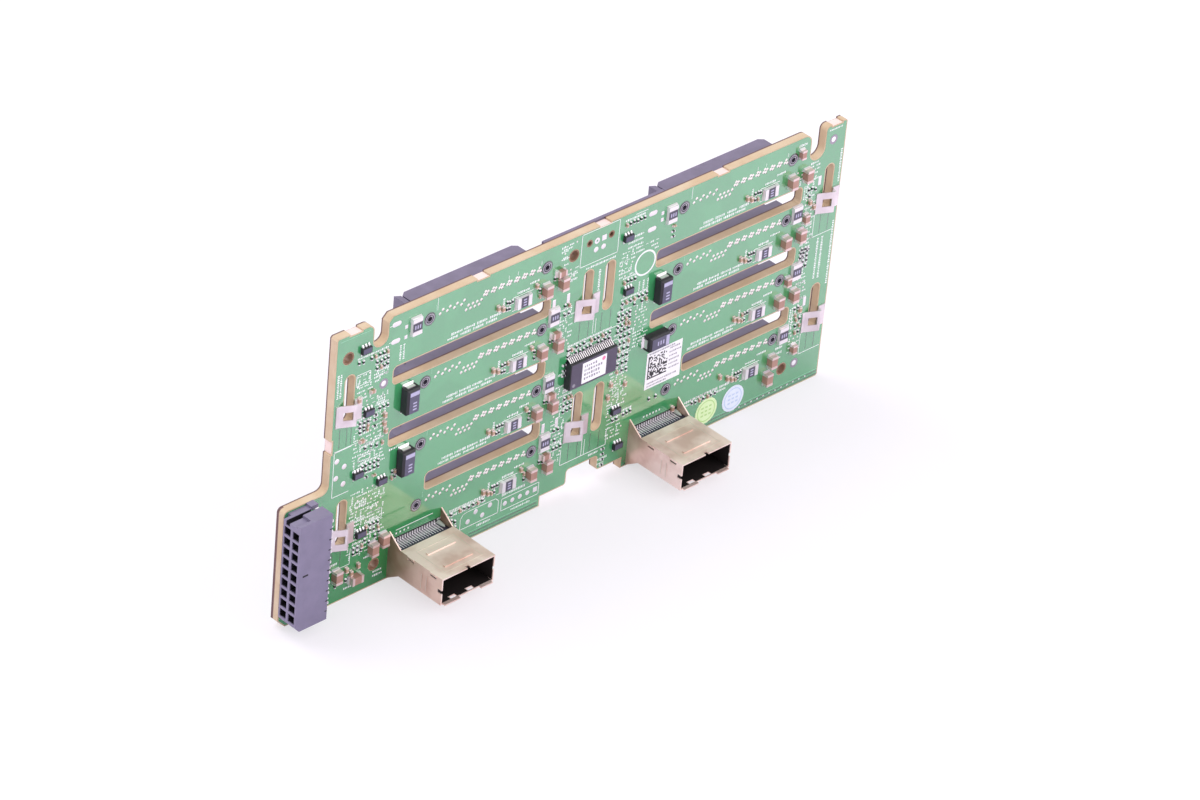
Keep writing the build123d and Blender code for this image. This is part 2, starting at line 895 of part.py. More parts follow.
def tantalum_bodies():
    """Every tantalum capacitor body by itself."""
    return [placed(tantalum_body(), *place) for place in tantalum_places()]


def tantalum_terminals():
    """The tabs of all tantalum capacitors."""
    return Compound(children=[placed(tab, *place) for place in tantalum_places() for tab in tantalum_tabs()])


def fuse_places():
    """Chip fuses: one over each air slot, one beside each right peg and one by each first left peg."""
    places = []
    for column in range(columns):
        x = column_x(column)
        places.append((x - fuse_from_left_peg, 0, True))
        for row in range(rows):
            places.append((x + peg_spacing - fuse_from_right_peg, row_z(row) - fuse_drop, False))
        for row, (across, up) in enumerate(fuses_beside_right_pegs[column], start=1):
            places.append((x + peg_spacing + across, row_z(row) + up, True))
    return places


def ceramic_places():
    """Larger ceramic capacitors: a pair by each right peg and a few along the lower edge."""
    places = []
    for column in range(columns):
        x = column_x(column) + peg_spacing
        for row in range(rows):
            places.append((x, row_z(row) - ceramic_drop, True))
            last = column == columns - 1 and row == rows - 1
            across, down = ceramic_last if last else ceramic_beside
            places.append((x + across, row_z(row) - down, True))
    for across, up, upright in ceramics_from_corner:
        places.append((left_edge + across, bottom_edge + up, upright))
    return places


def midget_places():
    """Smaller ceramic capacitors between the drive columns and along the right side."""
    last_peg = column_x(columns - 1) + peg_spacing
    across, down = midget_beside_peg
    places = [(peg_spacing + across, row_z(row) - down, False) for row in range(rows)]
    for row, (across, up) in enumerate(midgets_beside_last_pegs):
        places.append((last_peg + across, row_z(row) + up, True))
    return places


def chip_body(length, width, height):
    """Middle stretch of a two-terminal chip part, between its end caps."""
    half = length / 2 * (1 - 2 * end_cap_share)
    return block(-half, half, -width / 2, width / 2, 0, height)


def chip_caps(length, width, height):
    """Plated end caps of a two-terminal chip part, a little proud of its middle."""
    inner = length / 2 * (1 - 2 * end_cap_share)
    half = width / 2 + end_cap_proud
    right = block(inner, length / 2, -half, half, 0, height + end_cap_proud)
    left = block(-length / 2, -inner, -half, half, 0, height + end_cap_proud)
    return right, left


def chip_group(places, size):
    """Bodies and end caps of identical chip parts, each group as separate solids."""
    bodies = [placed(chip_body(*size), *place) for place in places]
    caps = [placed(cap, *place) for place in places for cap in chip_caps(*size)]
    return Compound(children=bodies), Compound(children=caps)


def small_chip_places():
    """Small chips around the board's left side and spine."""
    places = [(left_edge + across, row_z(row) + up, False) for across, row, up in small_chips_from_left]
    places += [(spine_x + across, row_z(row) + up, False) for across, row, up in small_chips_from_spine]
    places.append((spine_x + small_chip_lower[0], bottom_edge + small_chip_lower[1], False))
    return places


def small_chips():
    """Bodies and leads of the small chips."""
    body = block(-small_chip_length / 2, small_chip_length / 2, -small_chip_width / 2, small_chip_width / 2,
                 small_chip_standoff, small_chip_height)
    bodies = [placed(body, *place) for place in small_chip_places()]
    leads = []
    half = small_chip_lead_width / 2
    for place in small_chip_places():
        for side, x in ((-1, -small_chip_lead_pitch), (-1, small_chip_lead_pitch), (1, 0)):
            root = side * small_chip_width / 2
            out = root + side * small_chip_lead
            lead = block(x - half, x + half, min(root, out), max(root, out), 0, small_chip_lead_sheet)
            leads.append(placed(lead, *place))
    return Compound(children=bodies), Compound(children=leads)


def serial_label():
    """White paper label beside the second column."""
    x = column_pitch + serial_label_right
    z = row_z(2) - serial_label_drop
    return block(x - serial_label_width, x, z - serial_label_height, z, 0, label_thickness)


def dot_label(across):
    """Round inspection sticker near the lower edge."""
    disc = round_form(dot_label_diameter / 2, label_sides)
    place = Pos(column_pitch + across, bottom_edge + dot_label_rise)
    return place * extrude(disc, label_thickness)


def build_pieces():
    """Every piece by name, still lying flat."""
    pieces = {"circuit_board": circuit_board(), "rear_strip": rear_strip()}
    number = 0
    for column in range(columns):
        for row in range(rows):
            number += 1
            pieces[f"drive_connector_{number}"] = drive_connector(column, row)
            pieces[f"drive_contacts_{number}"] = drive_contacts(column, row)
    pieces["power_header_housing"] = power_header_housing()
    pieces["power_header_pins"] = power_header_pins()
    for number in (1, 2):
        x = socket_middle + (number - 1) * socket_pitch - shell_width / 2
        pieces[f"cable_socket_shell_{number}"] = socket_shell(x)
        pieces[f"cable_socket_insulator_{number}"] = socket_insulator(x)
        pieces[f"cable_socket_leads_{number}"] = socket_leads(x)
    number = 0
    for slot in clip_slots:
        for level in (0, 1):
            number += 1
            pieces[f"hook_clip_{number}"] = hook_clip(slot, level)
    pieces["controller_chip"] = controller_body()
    pieces["controller_pins"] = controller_pins()
    pieces["controller_label"] = controller_label()
    for number, body in enumerate(tantalum_bodies(), start=1):
        pieces[f"tantalum_capacitor_{number}"] = body
    pieces["tantalum_terminals"] = tantalum_terminals()
    groups = (
        ("chip_fuse", fuse_places(), (fuse_length, fuse_width, fuse_height)),
        ("ceramic_capacitor", ceramic_places(), (ceramic_length, ceramic_width, ceramic_height)),
        ("small_capacitor", midget_places(), (midget_length, midget_width, midget_height)),
    )
    for name, places, size in groups:
        pieces[f"{name}_bodies"], pieces[f"{name}_caps"] = chip_group(places, size)
    pieces["small_chip_bodies"], pieces["small_chip_leads"] = small_chips()
    pieces["serial_label"] = serial_label()
    for number, across in enumerate(dot_label_places, start=1):
        pieces[f"dot_label_{number}"] = dot_label(across)
    return pieces


def standing_place():
    """Stands the flat layout on its lower edge, with the origin under the middle of the whole."""
    middle_x = (header_mouth + right_edge) / 2
    middle_w = (shell_depth + lip_reach + shroud_face) / 2
    return Pos(-middle_x, middle_w, -bottom_edge) * Rot(90, 0, 0)


def main():
    os.makedirs("parts", exist_ok=True)
    place = standing_place()
    for name, piece in build_pieces().items():
        export_step(place * piece, f"parts/{name}.step")


main()
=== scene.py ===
"""Looks of the drive backplane board: finishes, solder mask, print, pads, solder and small parts."""
import math
import random

import bmesh
import bpy
from mathutils import Matrix, Vector


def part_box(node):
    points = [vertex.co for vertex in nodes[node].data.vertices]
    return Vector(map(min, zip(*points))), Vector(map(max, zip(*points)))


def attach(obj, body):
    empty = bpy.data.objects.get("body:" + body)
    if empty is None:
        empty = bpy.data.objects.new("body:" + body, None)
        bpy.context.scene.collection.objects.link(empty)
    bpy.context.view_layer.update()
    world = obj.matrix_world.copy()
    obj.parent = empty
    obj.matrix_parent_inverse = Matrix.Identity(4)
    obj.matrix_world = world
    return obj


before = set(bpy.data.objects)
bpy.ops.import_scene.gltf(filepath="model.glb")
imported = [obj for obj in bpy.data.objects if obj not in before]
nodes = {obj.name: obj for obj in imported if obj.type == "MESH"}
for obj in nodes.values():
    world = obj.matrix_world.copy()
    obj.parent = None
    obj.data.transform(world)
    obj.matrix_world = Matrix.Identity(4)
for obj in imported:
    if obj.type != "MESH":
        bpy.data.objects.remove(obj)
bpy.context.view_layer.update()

# Layout, in millimetres: X along the board, Z up it and W out of its component face,
# from the first drive connector's left peg
MM = 0.001
ROWS = 4
PEG_SPACING = 38.4
PEG_BELOW_TOP = 1.2
TAB_REACH = 13.7
VIA_STEP = 2.54

board_low, board_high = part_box("circuit_board")
first_low, first_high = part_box("drive_connector_1")
below_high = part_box("drive_connector_2")[1]
beside_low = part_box(f"drive_connector_{ROWS + 1}")[0]
ORIGIN_X = (first_low.x + first_high.x) / 2 - PEG_SPACING / 2 * MM
ORIGIN_Z = first_high.z - PEG_BELOW_TOP * MM
FACE_Y = board_low.y
THICKNESS = (board_high.y - board_low.y) / MM
ROW_PITCH = (first_high.z - below_high.z) / MM
COLUMN_PITCH = (beside_low.x - first_low.x) / MM
LEFT, RIGHT = ((x - ORIGIN_X) / MM for x in (board_low.x, board_high.x))
BOTTOM, TOP = ((z - ORIGIN_Z) / MM for z in (board_low.z, board_high.z))
SIDE = LEFT + TAB_REACH
COLUMNS = (0.0, COLUMN_PITCH)
ROW_ZS = [-row * ROW_PITCH for row in range(ROWS)]
SPINE = (PEG_SPACING + COLUMN_PITCH) / 2 - 4.7

# Heights of the thin layers above a face of the board, and the print on parts and labels
MASK = 0.03
INK = 0.05
PAD = 0.07
TRACK = (MASK * 0.6, MASK + 0.006)
PRINT = 0.02

# Thickness of the dark sheets of painted shade put in openings
SHADE_SHEET = 0.03

# Cable sockets: middles, height of the floor above the board's lower edge, rise, sheet, and the
# runs of the floor between its windows
SOCKET_XS = (0.4, 81.6)
SHELL_LOW = 3.13
SHELL_RISE = 7.64
SHELL_SHEET = 0.35
FLOOR_RUNS = ((0.4, 3.65), (5.95, 9.25), (11.55, 17.0))

# Power header: ways in a row, their pitch and size, the lowest way's height above its lower end,
# the heights of the two rows above the board and the depth that gets painted shade
WAYS = 9
WAY_PITCH = 3.0
WAY_SIZE = 2.25
WAY_FOOT = 2.3
WAY_ROWS = (2.7, 5.7)
WAY_DEPTH = 5.8

# Break-out dips along the top edge
DIP_PITCH = 40.6
DIP_LENGTH = 3.7
DIP_DEPTH = 0.5


def at(x, z, w=0.0):
    """Point of the frame from a place on the board and a height above its component face."""
    return Vector((ORIGIN_X + x * MM, FACE_Y - w * MM, ORIGIN_Z + z * MM))


def box_of(node):
    """A node's edges on the board: left, right, bottom, top, lowest and highest."""
    low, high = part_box(node)
    xs = [(x - ORIGIN_X) / MM for x in (low.x, high.x)]
    zs = [(z - ORIGIN_Z) / MM for z in (low.z, high.z)]
    ws = [(FACE_Y - y) / MM for y in (high.y, low.y)]
    return (*xs, *zs, *ws)


def oblong(x, z, length, height):
    """Outline of a rectangle by its middle."""
    a, b = length / 2, height / 2
    return [(x - a, z - b), (x + a, z - b), (x + a, z + b), (x - a, z + b)]


def disc(x, z, radius, count=12):
    """Outline of a circle by its middle."""
    steps = [2 * math.pi * i / count for i in range(count)]
    return [(x + radius * math.cos(a), z + radius * math.sin(a)) for a in steps]


def capsule(x0, z0, x1, z1, width, count=5):
    """Outline of a straight stroke with round ends."""
    turn = math.atan2(z1 - z0, x1 - x0)
    r = width / 2
    end = [(x1 + r * math.cos(turn + a), z1 + r * math.sin(turn + a)) for a in arc(-90, 90, count)]
    start = [(x0 + r * math.cos(turn + a), z0 + r * math.sin(turn + a)) for a in arc(90, 270, count)]
    return end + start


def arc(start, stop, count):
    """Angles in radians from one to another in degrees."""
    return [math.radians(start + (stop - start) * i / (count - 1)) for i in range(count)]


def shrunk(outline, by):
    """Outline drawn in towards its middle by a length on each axis."""
    xs, zs = zip(*outline)
    mx, mz = (min(xs) + max(xs)) / 2, (min(zs) + max(zs)) / 2
    kx = 1 - 2 * by / (max(xs) - min(xs))
    kz = 1 - 2 * by / (max(zs) - min(zs))
    return [(mx + (x - mx) * kx, mz + (z - mz) * kz) for x, z in outline]


def laid(along_x, length, width):
    """A part's reach along X and Z, whether it lies along the board or stands."""
    return (length, width) if along_x else (width, length)


def run(x, z, count, step):
    """Places in a straight row."""
    return [(x + i * step, z) for i in range(count)]


def face_of(edges, less_x, less_z):
    """Outline of a box's outer face, made smaller by a length on each axis."""
    left, right, bottom, top = edges[:4]
    return oblong((left + right) / 2, (bottom + top) / 2, right - left - less_x, top - bottom - less_z)


def linked(name, data):
    """New object in the scene."""
    obj = bpy.data.objects.new(name, data)
    bpy.context.collection.objects.link(obj)
    return obj


class Relief:
    """Closed solids laid on a face of the board and gathered into one mesh."""

    def __init__(self, far=False):
        self.far = far
        self.points = []
        self.faces = []
        self.slots = []

    def height(self, w):
        """Height above the chosen face as a height above the component face."""
        return -THICKNESS - w if self.far else w

    def loft(self, levels, slot=0, closed=False):
        """Skins outlines at rising heights; a closed loft joins the last to the first instead of capping."""
        start = len(self.points)
        count = len(levels[0][0])
        for outline, w in levels:
            self.points += [at(x, z, self.height(w)) for x, z in outline]
        bands = len(levels) if closed else len(levels) - 1
        faces = []
        for level in range(bands):
            low = start + level * count
            high = start + (level + 1) % len(levels) * count
            for i in range(count):
                j = (i + 1) % count
                faces.append((low + i, low + j, high + j, high + i))
        if not closed:
            last = start + (len(levels) - 1) * count
            faces.append(tuple(range(start + count - 1, start - 1, -1)))
            faces.append(tuple(range(last, last + count)))
        if self.far:
            faces = [face[::-1] for face in faces]
        self.faces += faces
        self.slots += [slot] * len(faces)

    def plate(self, outline, low, high, slot=0):
        """Flat plate of an outline."""
        self.loft([(outline, low), (outline, high)], slot)

    def eased(self, outline, low, high, ease, slot=0):
        """Plate whose upper edge is eased."""
        self.loft([(outline, low), (outline, high - ease), (shrunk(outline, ease), high)], slot)

    def dome(self, outline, low, high, slot=0):
        """Rounded bump over an outline."""
        xs, zs = zip(*outline)
        half = min(max(xs) - min(xs), max(zs) - min(zs)) / 2
        levels = [(outline, low)]
        for angle in arc(20, 75, 3):
            drawn = shrunk(outline, half * (1 - math.cos(angle)))
            levels.append((drawn, low + (high - low) * math.sin(angle)))
        self.loft(levels, slot)

    def ring(self, x, z, inner, outer, low, high, slot=0, count=20):
        """Flat ring."""
        small, large = disc(x, z, inner, count), disc(x, z, outer, count)
        self.loft([(large, low), (large, high), (small, high), (small, low)], slot, closed=True)

    def piece(self, name, slot, *finishes):
        """Makes the Blender object and lets it ride on the board."""
        mesh = bpy.data.meshes.new(name)
        mesh.from_pydata(self.points, [], self.faces)
        for finish in finishes:
            mesh.materials.append(finish)
        mesh.polygons.foreach_set("material_index", self.slots)
        mesh.update()
        obj = linked(name, mesh)
        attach(obj, "root")


# Finishes

BLACK = (0, 0, 0)
WHITE = (255, 255, 255)


def tint(red, green, blue):
    """Linear colour from the eight-bit values seen on a screen."""
    def linear(value):
        share = value / 255
        return share / 12.92 if share <= 0.04045 else ((share + 0.055) / 1.055) ** 2.4
    return (linear(red), linear(green), linear(blue), 1.0)


class Nodes:
    """Shader nodes of one tree, each added with its sockets fed."""

    def __init__(self, owner):
        owner.use_nodes = True
        self.tree = owner.node_tree

    def feed(self, source, node, name):
        """Links or sets a node's socket; a colour of three values is in eight bits."""
        socket = node.inputs[name]
        if isinstance(source, bpy.types.NodeSocket):
            self.tree.links.new(source, socket)
        else:
            screen = socket.type == "RGBA" and len(source) == 3
            socket.default_value = tint(*source) if screen else source

    def add(self, kind, sources=None, **settings):
        """New node with its settings, its sockets fed by name or number."""
        node = self.tree.nodes.new(f"ShaderNode{kind}")
        for key, value in settings.items():
            setattr(node, key, value)
        for name, source in (sources or {}).items():
            self.feed(source, node, name)
        return node


class Finish(Nodes):
    """Principled material with a few procedural layers, measured in metres of the object."""

    def __init__(self, name, **values):
        self.material = bpy.data.materials.new(name)
        super().__init__(self.material)
        self.shader = self.tree.nodes["Principled BSDF"]
        for key, value in values.items():
            self.feed(value, self.shader, key.replace("_", " "))
        self.place = self.add("TexCoord").outputs["Object"]

    def noise(self, scale, detail=3.0, stretch=(1, 1, 1)):
        """Cloudy pattern, its place scaled by axis."""
        place = self.add("VectorMath", {0: self.place, 1: stretch}, operation="MULTIPLY").outputs[0]
        sources = {"Vector": place, "Scale": scale, "Detail": detail, "Roughness": 0.55}
        return self.add("TexNoise", sources).outputs["Fac"]

    def wave(self, scale, axis, distortion, detail):
        """Bands across an axis."""
        sources = {"Vector": self.place, "Scale": scale, "Distortion": distortion, "Detail": detail}
        return self.add("TexWave", sources, wave_type="BANDS", bands_direction=axis).outputs["Fac"]

    def ramp(self, factor, *stops):
        """Two colours at two places along a factor."""
        node = self.add("ValToRGB", {"Fac": factor})
        for element, (position, colour) in zip(node.color_ramp.elements, stops):
            element.position = position
            element.color = tint(*colour)
        return node.outputs["Color"]

    def blend(self, factor, first, second, mode="MIX"):
        return self.add("Mix", {0: factor, 6: first, 7: second}, data_type="RGBA", blend_type=mode).outputs[2]

    def rescaled(self, value, start, stop, low=0.0, high=1.0):
        """Value carried from one range to another and held at its ends."""
        sources = {"Value": value, "From Min": start, "From Max": stop, "To Min": low, "To Max": high}
        return self.add("MapRange", sources).outputs["Result"]

    def axis(self, vector, letter):
        """One coordinate of a vector."""
        return self.add("SeparateXYZ", {0: vector}).outputs[letter]

    def below(self, value, limit):
        """1 where a value is under a limit and 0 elsewhere."""
        return self.add("Math", {0: value, 1: limit}, operation="LESS_THAN").outputs[0]

    def colour(self, source):
        self.feed(source, self.shader, "Base Color")

    def roughness(self, factor, low, high):
        self.feed(self.rescaled(factor, 0.0, 1.0, low, high), self.shader, "Roughness")

    def bump(self, height, strength, depth):
        node = self.add("Bump", {"Height": height, "Strength": strength, "Distance": depth})
        self.feed(node.outputs["Normal"], self.shader, "Normal")


def solder_mask():
    """Glossy green lacquer over faint copper and glass weave, painted deeper green and less glossy round the
    power header as painted shade and a dimmed reflection.
    """
    f = Finish("solder_mask", IOR=1.62, Coat_Weight=1.0, Coat_Roughness=0.06, Coat_IOR=2.1)
    pour = f.ramp(f.noise(90, detail=1.5), (0.46, (52, 150, 88)), (0.56, (60, 160, 96)))
    fleck = f.blend(f.noise(2600, detail=2), (44, 138, 80), (74, 172, 110))
    # Painted shade and a dimmed painted reflection: the green deepens and the coat thins near the power
    # header.
    away = f.add("VectorMath", {0: f.place, 1: at(-18.0, -66.0)}, operation="DISTANCE")
    clear_of_painted_shade = f.rescaled(away.outputs["Value"], 13 * MM, 27 * MM)
    f.colour(f.blend(clear_of_painted_shade, (36, 138, 72), f.blend(0.35, pour, fleck)))
    f.feed(f.rescaled(clear_of_painted_shade, 0.0, 1.0, 0.4, 1.0), f.shader, "Coat Weight")
    f.roughness(f.noise(700), 0.16, 0.3)
    f.bump(f.noise(1500), 0.12, 0.00004)
    return f.material


def under_mask(name, colour):
    """Copper seen through the lacquer."""
    f = Finish(name, IOR=1.62, Coat_Weight=1.0, Coat_Roughness=0.08, Coat_IOR=2.0)
    f.colour(f.blend(1.0, colour, f.rescaled(f.noise(1800), 0.0, 1.0, 0.8, 1.0), mode="MULTIPLY"))
    f.roughness(f.noise(900), 0.2, 0.35)
    return f.material


def laminate():
    """Bare glass laminate: pressed layers, fibres along the cut and a dark line at the far face."""
    f = Finish("laminate", IOR=1.5)
    layers = f.ramp(f.wave(2300, "Y", 1.2, 2), (0.2, (176, 148, 118)), (0.65, (204, 182, 152)))
    fibres = f.noise(900, detail=5, stretch=(1, 7, 1))
    patches = f.ramp(f.noise(120), (0.35, (190, 160, 124)), (0.7, (212, 194, 168)))
    core = f.blend(0.5, f.blend(fibres, layers, (210, 190, 162)), patches)
    through = f.rescaled(f.axis(f.place, "Y"), FACE_Y, FACE_Y + THICKNESS * MM)
    narrow = f.ramp(through, (0.8, BLACK), (0.9, WHITE))
    wide = f.ramp(through, (0.62, BLACK), (0.74, WHITE))
    tab_edge = f.below(f.axis(f.place, "X"), board_low.x + 1.5 * MM)
    f.colour(f.blend(f.blend(tab_edge, narrow, wide), core, (98, 68, 70)))
    f.roughness(f.noise(2000), 0.5, 0.75)
    f.bump(fibres, 0.5, 0.00006)
    return f.material


def moulding(name, dark, light, rough=(0.32, 0.48), grain=4200):
    """Filled moulded plastic with a fine spark-eroded grain."""
    f = Finish(name, IOR=1.5)
    f.colour(f.blend(f.noise(260, detail=4), dark, light))
    f.roughness(f.noise(1300), *rough)
    f.bump(f.noise(grain, detail=2), 0.25, 0.00002)
    return f.material


def metal(name, dark, light, rough, metallic=1.0, bump=0.2):
    """Plated metal, cloudy and a little uneven."""
    f = Finish(name, Metallic=metallic)
    grain = f.noise(1400, detail=4)
    f.colour(f.blend(f.noise(180), dark, light))
    f.roughness(grain, *rough)
    f.bump(grain, bump, 0.00002)
    return f.material


def plated_sheet(name, mouth_shade, board_shade):
    """Nickel-plated sheet, cloudy in random patches that partly stand in for painted reflections, its left
    wall darkened towards the board by painted shade.
    """
    f = Finish(name, Metallic=0.5)
    rolled = f.noise(1400, detail=4, stretch=(1, 0.12, 1))
    sheet = f.ramp(f.noise(110), (0.36, (226, 194, 182)), (0.56, (255, 232, 222)))
    # Painted shade: on faces turned to the left the colour darkens from the mouth tone to the board tone.
    near_board = f.rescaled(f.axis(f.place, "Y"), FACE_Y - 13 * MM, FACE_Y - MM)
    left_wall = f.below(f.axis(f.add("NewGeometry").outputs["Normal"], "X"), -0.5)
    shade = f.blend(left_wall, WHITE, f.ramp(near_board, (0.0, mouth_shade), (1.0, board_shade)))
    f.colour(f.blend(1.0, sheet, shade, mode="MULTIPLY"))
    f.roughness(rolled, 0.28, 0.42)
    f.bump(rolled, 0.2, 0.00002)
    return f.material


def paper(name, dark, light):
    """Printed label stock with a slight sheen."""
    f = Finish(name, IOR=1.45)
    f.colour(f.blend(f.noise(900, detail=4), dark, light))
    f.roughness(f.noise(500), 0.35, 0.55)
    f.bump(f.noise(350), 0.1, 0.00003)
    return f.material


def ink(name, dark, light):
    """Matt printing ink."""
    f = Finish(name, IOR=1.45)
    f.colour(f.blend(f.noise(3200, detail=2), dark, light))
    f.roughness(f.noise(1500), 0.4, 0.6)
    return f.material


MASK_GREEN = solder_mask()
TRACE_GREEN = under_mask("trace_green", (104, 190, 138))
DEEP_GREEN = under_mask("deep_green", (20, 66, 40))
LAMINATE = laminate()
SILK = ink("silk_white", (226, 234, 230), (252, 253, 252))
TIN = metal("tin", (226, 218, 222), (252, 247, 250), (0.25, 0.42), metallic=0.75)
BRIGHT_TIN = metal("bright_tin", (238, 232, 238), (254, 250, 254), (0.3, 0.45), metallic=0.4)
DULL_TIN = metal("dull_tin", (140, 134, 144), (186, 178, 188), (0.3, 0.5))
CLIP_TIN = metal("clip_tin", (184, 170, 176), (255, 247, 248), (0.22, 0.42), metallic=0.85, bump=0.7)
CAP_TIN = metal("cap_tin", (216, 186, 184), (244, 224, 222), (0.34, 0.5), metallic=0.6)
VIA_TIN = metal("via_tin", (228, 220, 216), (253, 248, 245), (0.25, 0.42), metallic=0.5)
GOLD = metal("contact_gold", (206, 160, 86), (240, 204, 128), (0.16, 0.3))
# Socket 1's shell carries deeper painted shade on its left wall near the board than socket 2's.
SHADED_WALL_SHELL = plated_sheet("shell_steel_deeper_painted_shade", (236, 228, 218), (176, 166, 150))
SHELL = plated_sheet("shell_steel", WHITE, (226, 214, 206))
SHELL_RIB = metal("shell_rib", (214, 200, 188), (246, 232, 218), (0.3, 0.45), metallic=0.5)
SLATE = moulding("connector_plastic", (98, 90, 111), (130, 119, 146))
PALE_SLATE = moulding("peg_rim", (146, 142, 154), (182, 176, 188))
DARK_SLATE = moulding("peg_plastic", (34, 31, 40), (52, 48, 60))
HEADER = moulding("header_plastic", (112, 106, 130), (134, 126, 153))
# Near-black sheets of painted shade: in the sockets' mouths, the header's ways and groove, the pegs' bores,
# under the chip's pins and round the socket leads.
SHADE_BROWN = moulding("mouth_painted_shade", (16, 10, 11), (28, 19, 19), (0.5, 0.7))
PAINTED_SHADE_BLACK = moulding("painted_shade_black", (14, 13, 20), (24, 22, 32), (0.5, 0.7))
INSULATOR = moulding("insulator_plastic", (38, 32, 50), (60, 52, 76))
COMB = moulding("comb_plastic", (52, 44, 74), (74, 66, 100))
POST = moulding("socket_post", (178, 190, 180), (210, 218, 208), (0.2, 0.3))
RESIN = moulding("chip_resin", (22, 20, 27), (40, 37, 47), (0.35, 0.5), grain=7000)
# Lighter copies of the black resin for top faces: painted light.
LIT_TOP_RESIN = moulding("resin_painted_lit_top", (72, 70, 92), (98, 94, 120), (0.4, 0.55), grain=7000)
CHIP_LIT_TOP = moulding("controller_painted_lit_top", (66, 58, 78), (92, 84, 106), (0.4, 0.55), grain=7000)
ALUMINA = moulding("alumina", (216, 208, 214), (240, 234, 238), (0.4, 0.55), grain=5200)
GLAZE = moulding("fuse_glaze", (66, 62, 78), (88, 84, 102), (0.2, 0.3))
CERAMIC = moulding("ceramic_brown", (152, 112, 98), (192, 150, 136), (0.35, 0.55), grain=5200)
CERAMIC_TAN = moulding("ceramic_tan", (168, 134, 112), (200, 168, 144), (0.35, 0.55), grain=5200)
BARE_BROWN = moulding("hole_wall", (124, 92, 72), (158, 122, 98))
SNAPPED = moulding("snapped_laminate", (222, 196, 190), (244, 224, 218), (0.4, 0.6))
LABEL = paper("label_paper", (242, 240, 244), (252, 251, 254))
GREEN_PAPER = paper("green_sticker", (212, 242, 176), (234, 252, 208))
BLUE_PAPER = paper("blue_sticker", (218, 228, 246), (236, 242, 252))
HOLE_AND_SHADOW_BROWN = ink("via_hole_and_shadow", (78, 62, 58), (106, 86, 80))
BLACK_INK = ink("black_ink", (34, 32, 38), (58, 55, 62))
GREY_INK = ink("grey_ink", (132, 128, 140), (164, 160, 172))
PALE_INK = ink("pale_ink", (168, 164, 198), (200, 196, 222))
PINK_INK = ink("pink_ink", (232, 120, 164), (246, 150, 188))
GREEN_MARK = ink("green_mark", (176, 216, 130), (192, 226, 150))
BLUE_MARK = ink("blue_mark", (186, 204, 232), (202, 216, 240))

NODE_FINISHES = (
    (LAMINATE, "circuit_board"),
    (SLATE, "rear_strip", "drive_connector"),
    (GOLD, "drive_contacts"),
    (HEADER, "power_header_housing"),
    (TIN, "power_header_pins", "controller_pins", "tantalum_terminals", "chip_fuse_caps", "small_chip_leads"),
    (SHADED_WALL_SHELL, "cable_socket_shell_1"),
    (SHELL, "cable_socket_shell_2"),
    (INSULATOR, "cable_socket_insulator"),
    (BRIGHT_TIN, "cable_socket_leads"),
    (CLIP_TIN, "hook_clip"),
    (RESIN, "controller_chip", "tantalum_capacitor", "small_chip_bodies"),
    (ALUMINA, "chip_fuse_bodies"),
    (CERAMIC, "ceramic_capacitor_bodies", "small_capacitor_bodies"),
    (CAP_TIN, "ceramic_capacitor_caps", "small_capacitor_caps"),
    (LABEL, "controller_label", "serial_label"),
    (GREEN_PAPER, "dot_label_1"),
    (BLUE_PAPER, "dot_label_2"),
)


def dress_nodes():
    """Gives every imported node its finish."""
    for name, obj in nodes.items():
        finish = next(made for made, *starts in NODE_FINISHES if name.startswith(tuple(starts)))
        obj.data.materials.clear()
        obj.data.materials.append(finish)


# Solder mask sheets


def welded(node):
    """A node's mesh with its doubled corners joined."""
    mesh = bmesh.new()
    mesh.from_mesh(nodes[node].data)
    bmesh.ops.remove_doubles(mesh, verts=mesh.verts, dist=1e-6)
    return mesh


def face_outlines(y, facing):
    """Closed outlines of the board's flat face at a height, as (x, z) points in millimetres."""
    mesh = welded("circuit_board")
    flat = [
        face for face in mesh.faces
        if face.normal.y * facing > 0.9 and all(abs(v.co.y - y) < 1e-5 for v in face.verts)
    ]
    chosen = set(flat)
    following = {}
    for face in flat:
        for loop in face.loops:
            if sum(other in chosen for other in loop.edge.link_faces) == 1:
                following[loop.vert.index] = loop.link_loop_next.vert.index
    places = [((v.co.x - ORIGIN_X) / MM, (v.co.z - ORIGIN_Z) / MM) for v in mesh.verts]
    mesh.free()
    outlines = []
    while following:
        first, here = following.popitem()
        chain = [first]
        while here != first:
            chain.append(here)
            here = following.pop(here)
        outlines.append([places[i] for i in chain])
    return outlines


def drawn_in(outline, by):
    """Outline moved to its left by a length, corners mitred."""
    moved = []
    count = len(outline)
    for i in range(count):
        before, here, after = (Vector(outline[j % count]) for j in (i - 1, i, i + 1))
        first, second = (here - before).normalized(), (after - here).normalized()
        left = Vector((-first.y - second.y, first.x + second.x))
        half = left.length / 2
        moved.append(here + left.normalized() * by / max(half, 0.3))
    return moved


def mask_sheet(name, y, facing, gap=0.32):
    """Thin sheet of lacquer over one face, held back from every edge and hole."""
    curve = bpy.data.curves.new(name, "CURVE")
    curve.dimensions = "2D"
    curve.fill_mode = "BOTH"
    curve.extrude = MASK / 2 * MM
    for outline in face_outlines(y, facing):
        moved = drawn_in(outline, gap * facing * -1)
        spline = curve.splines.new("POLY")
        spline.points.add(len(moved) - 1)
        for point, (x, z) in zip(spline.points, moved):
            point.co = (x * MM, z * MM, 0, 1)
        spline.use_cyclic_u = True
    shape = linked(name + "_outline", curve)
    mesh = bpy.data.meshes.new_from_object(shape.evaluated_get(bpy.context.evaluated_depsgraph_get()))
    bpy.data.objects.remove(shape)
    lift = Vector((ORIGIN_X, y + facing * MASK / 2 * MM, ORIGIN_Z))
    mesh.transform(Matrix.Translation(lift) @ Matrix.Rotation(math.pi / 2, 4, "X"))
    mesh.name = name
    mesh.materials.clear()
    mesh.materials.append(MASK_GREEN)
    obj = linked(name, mesh)
    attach(obj, "root")


# Solder, small parts and the heads of holes


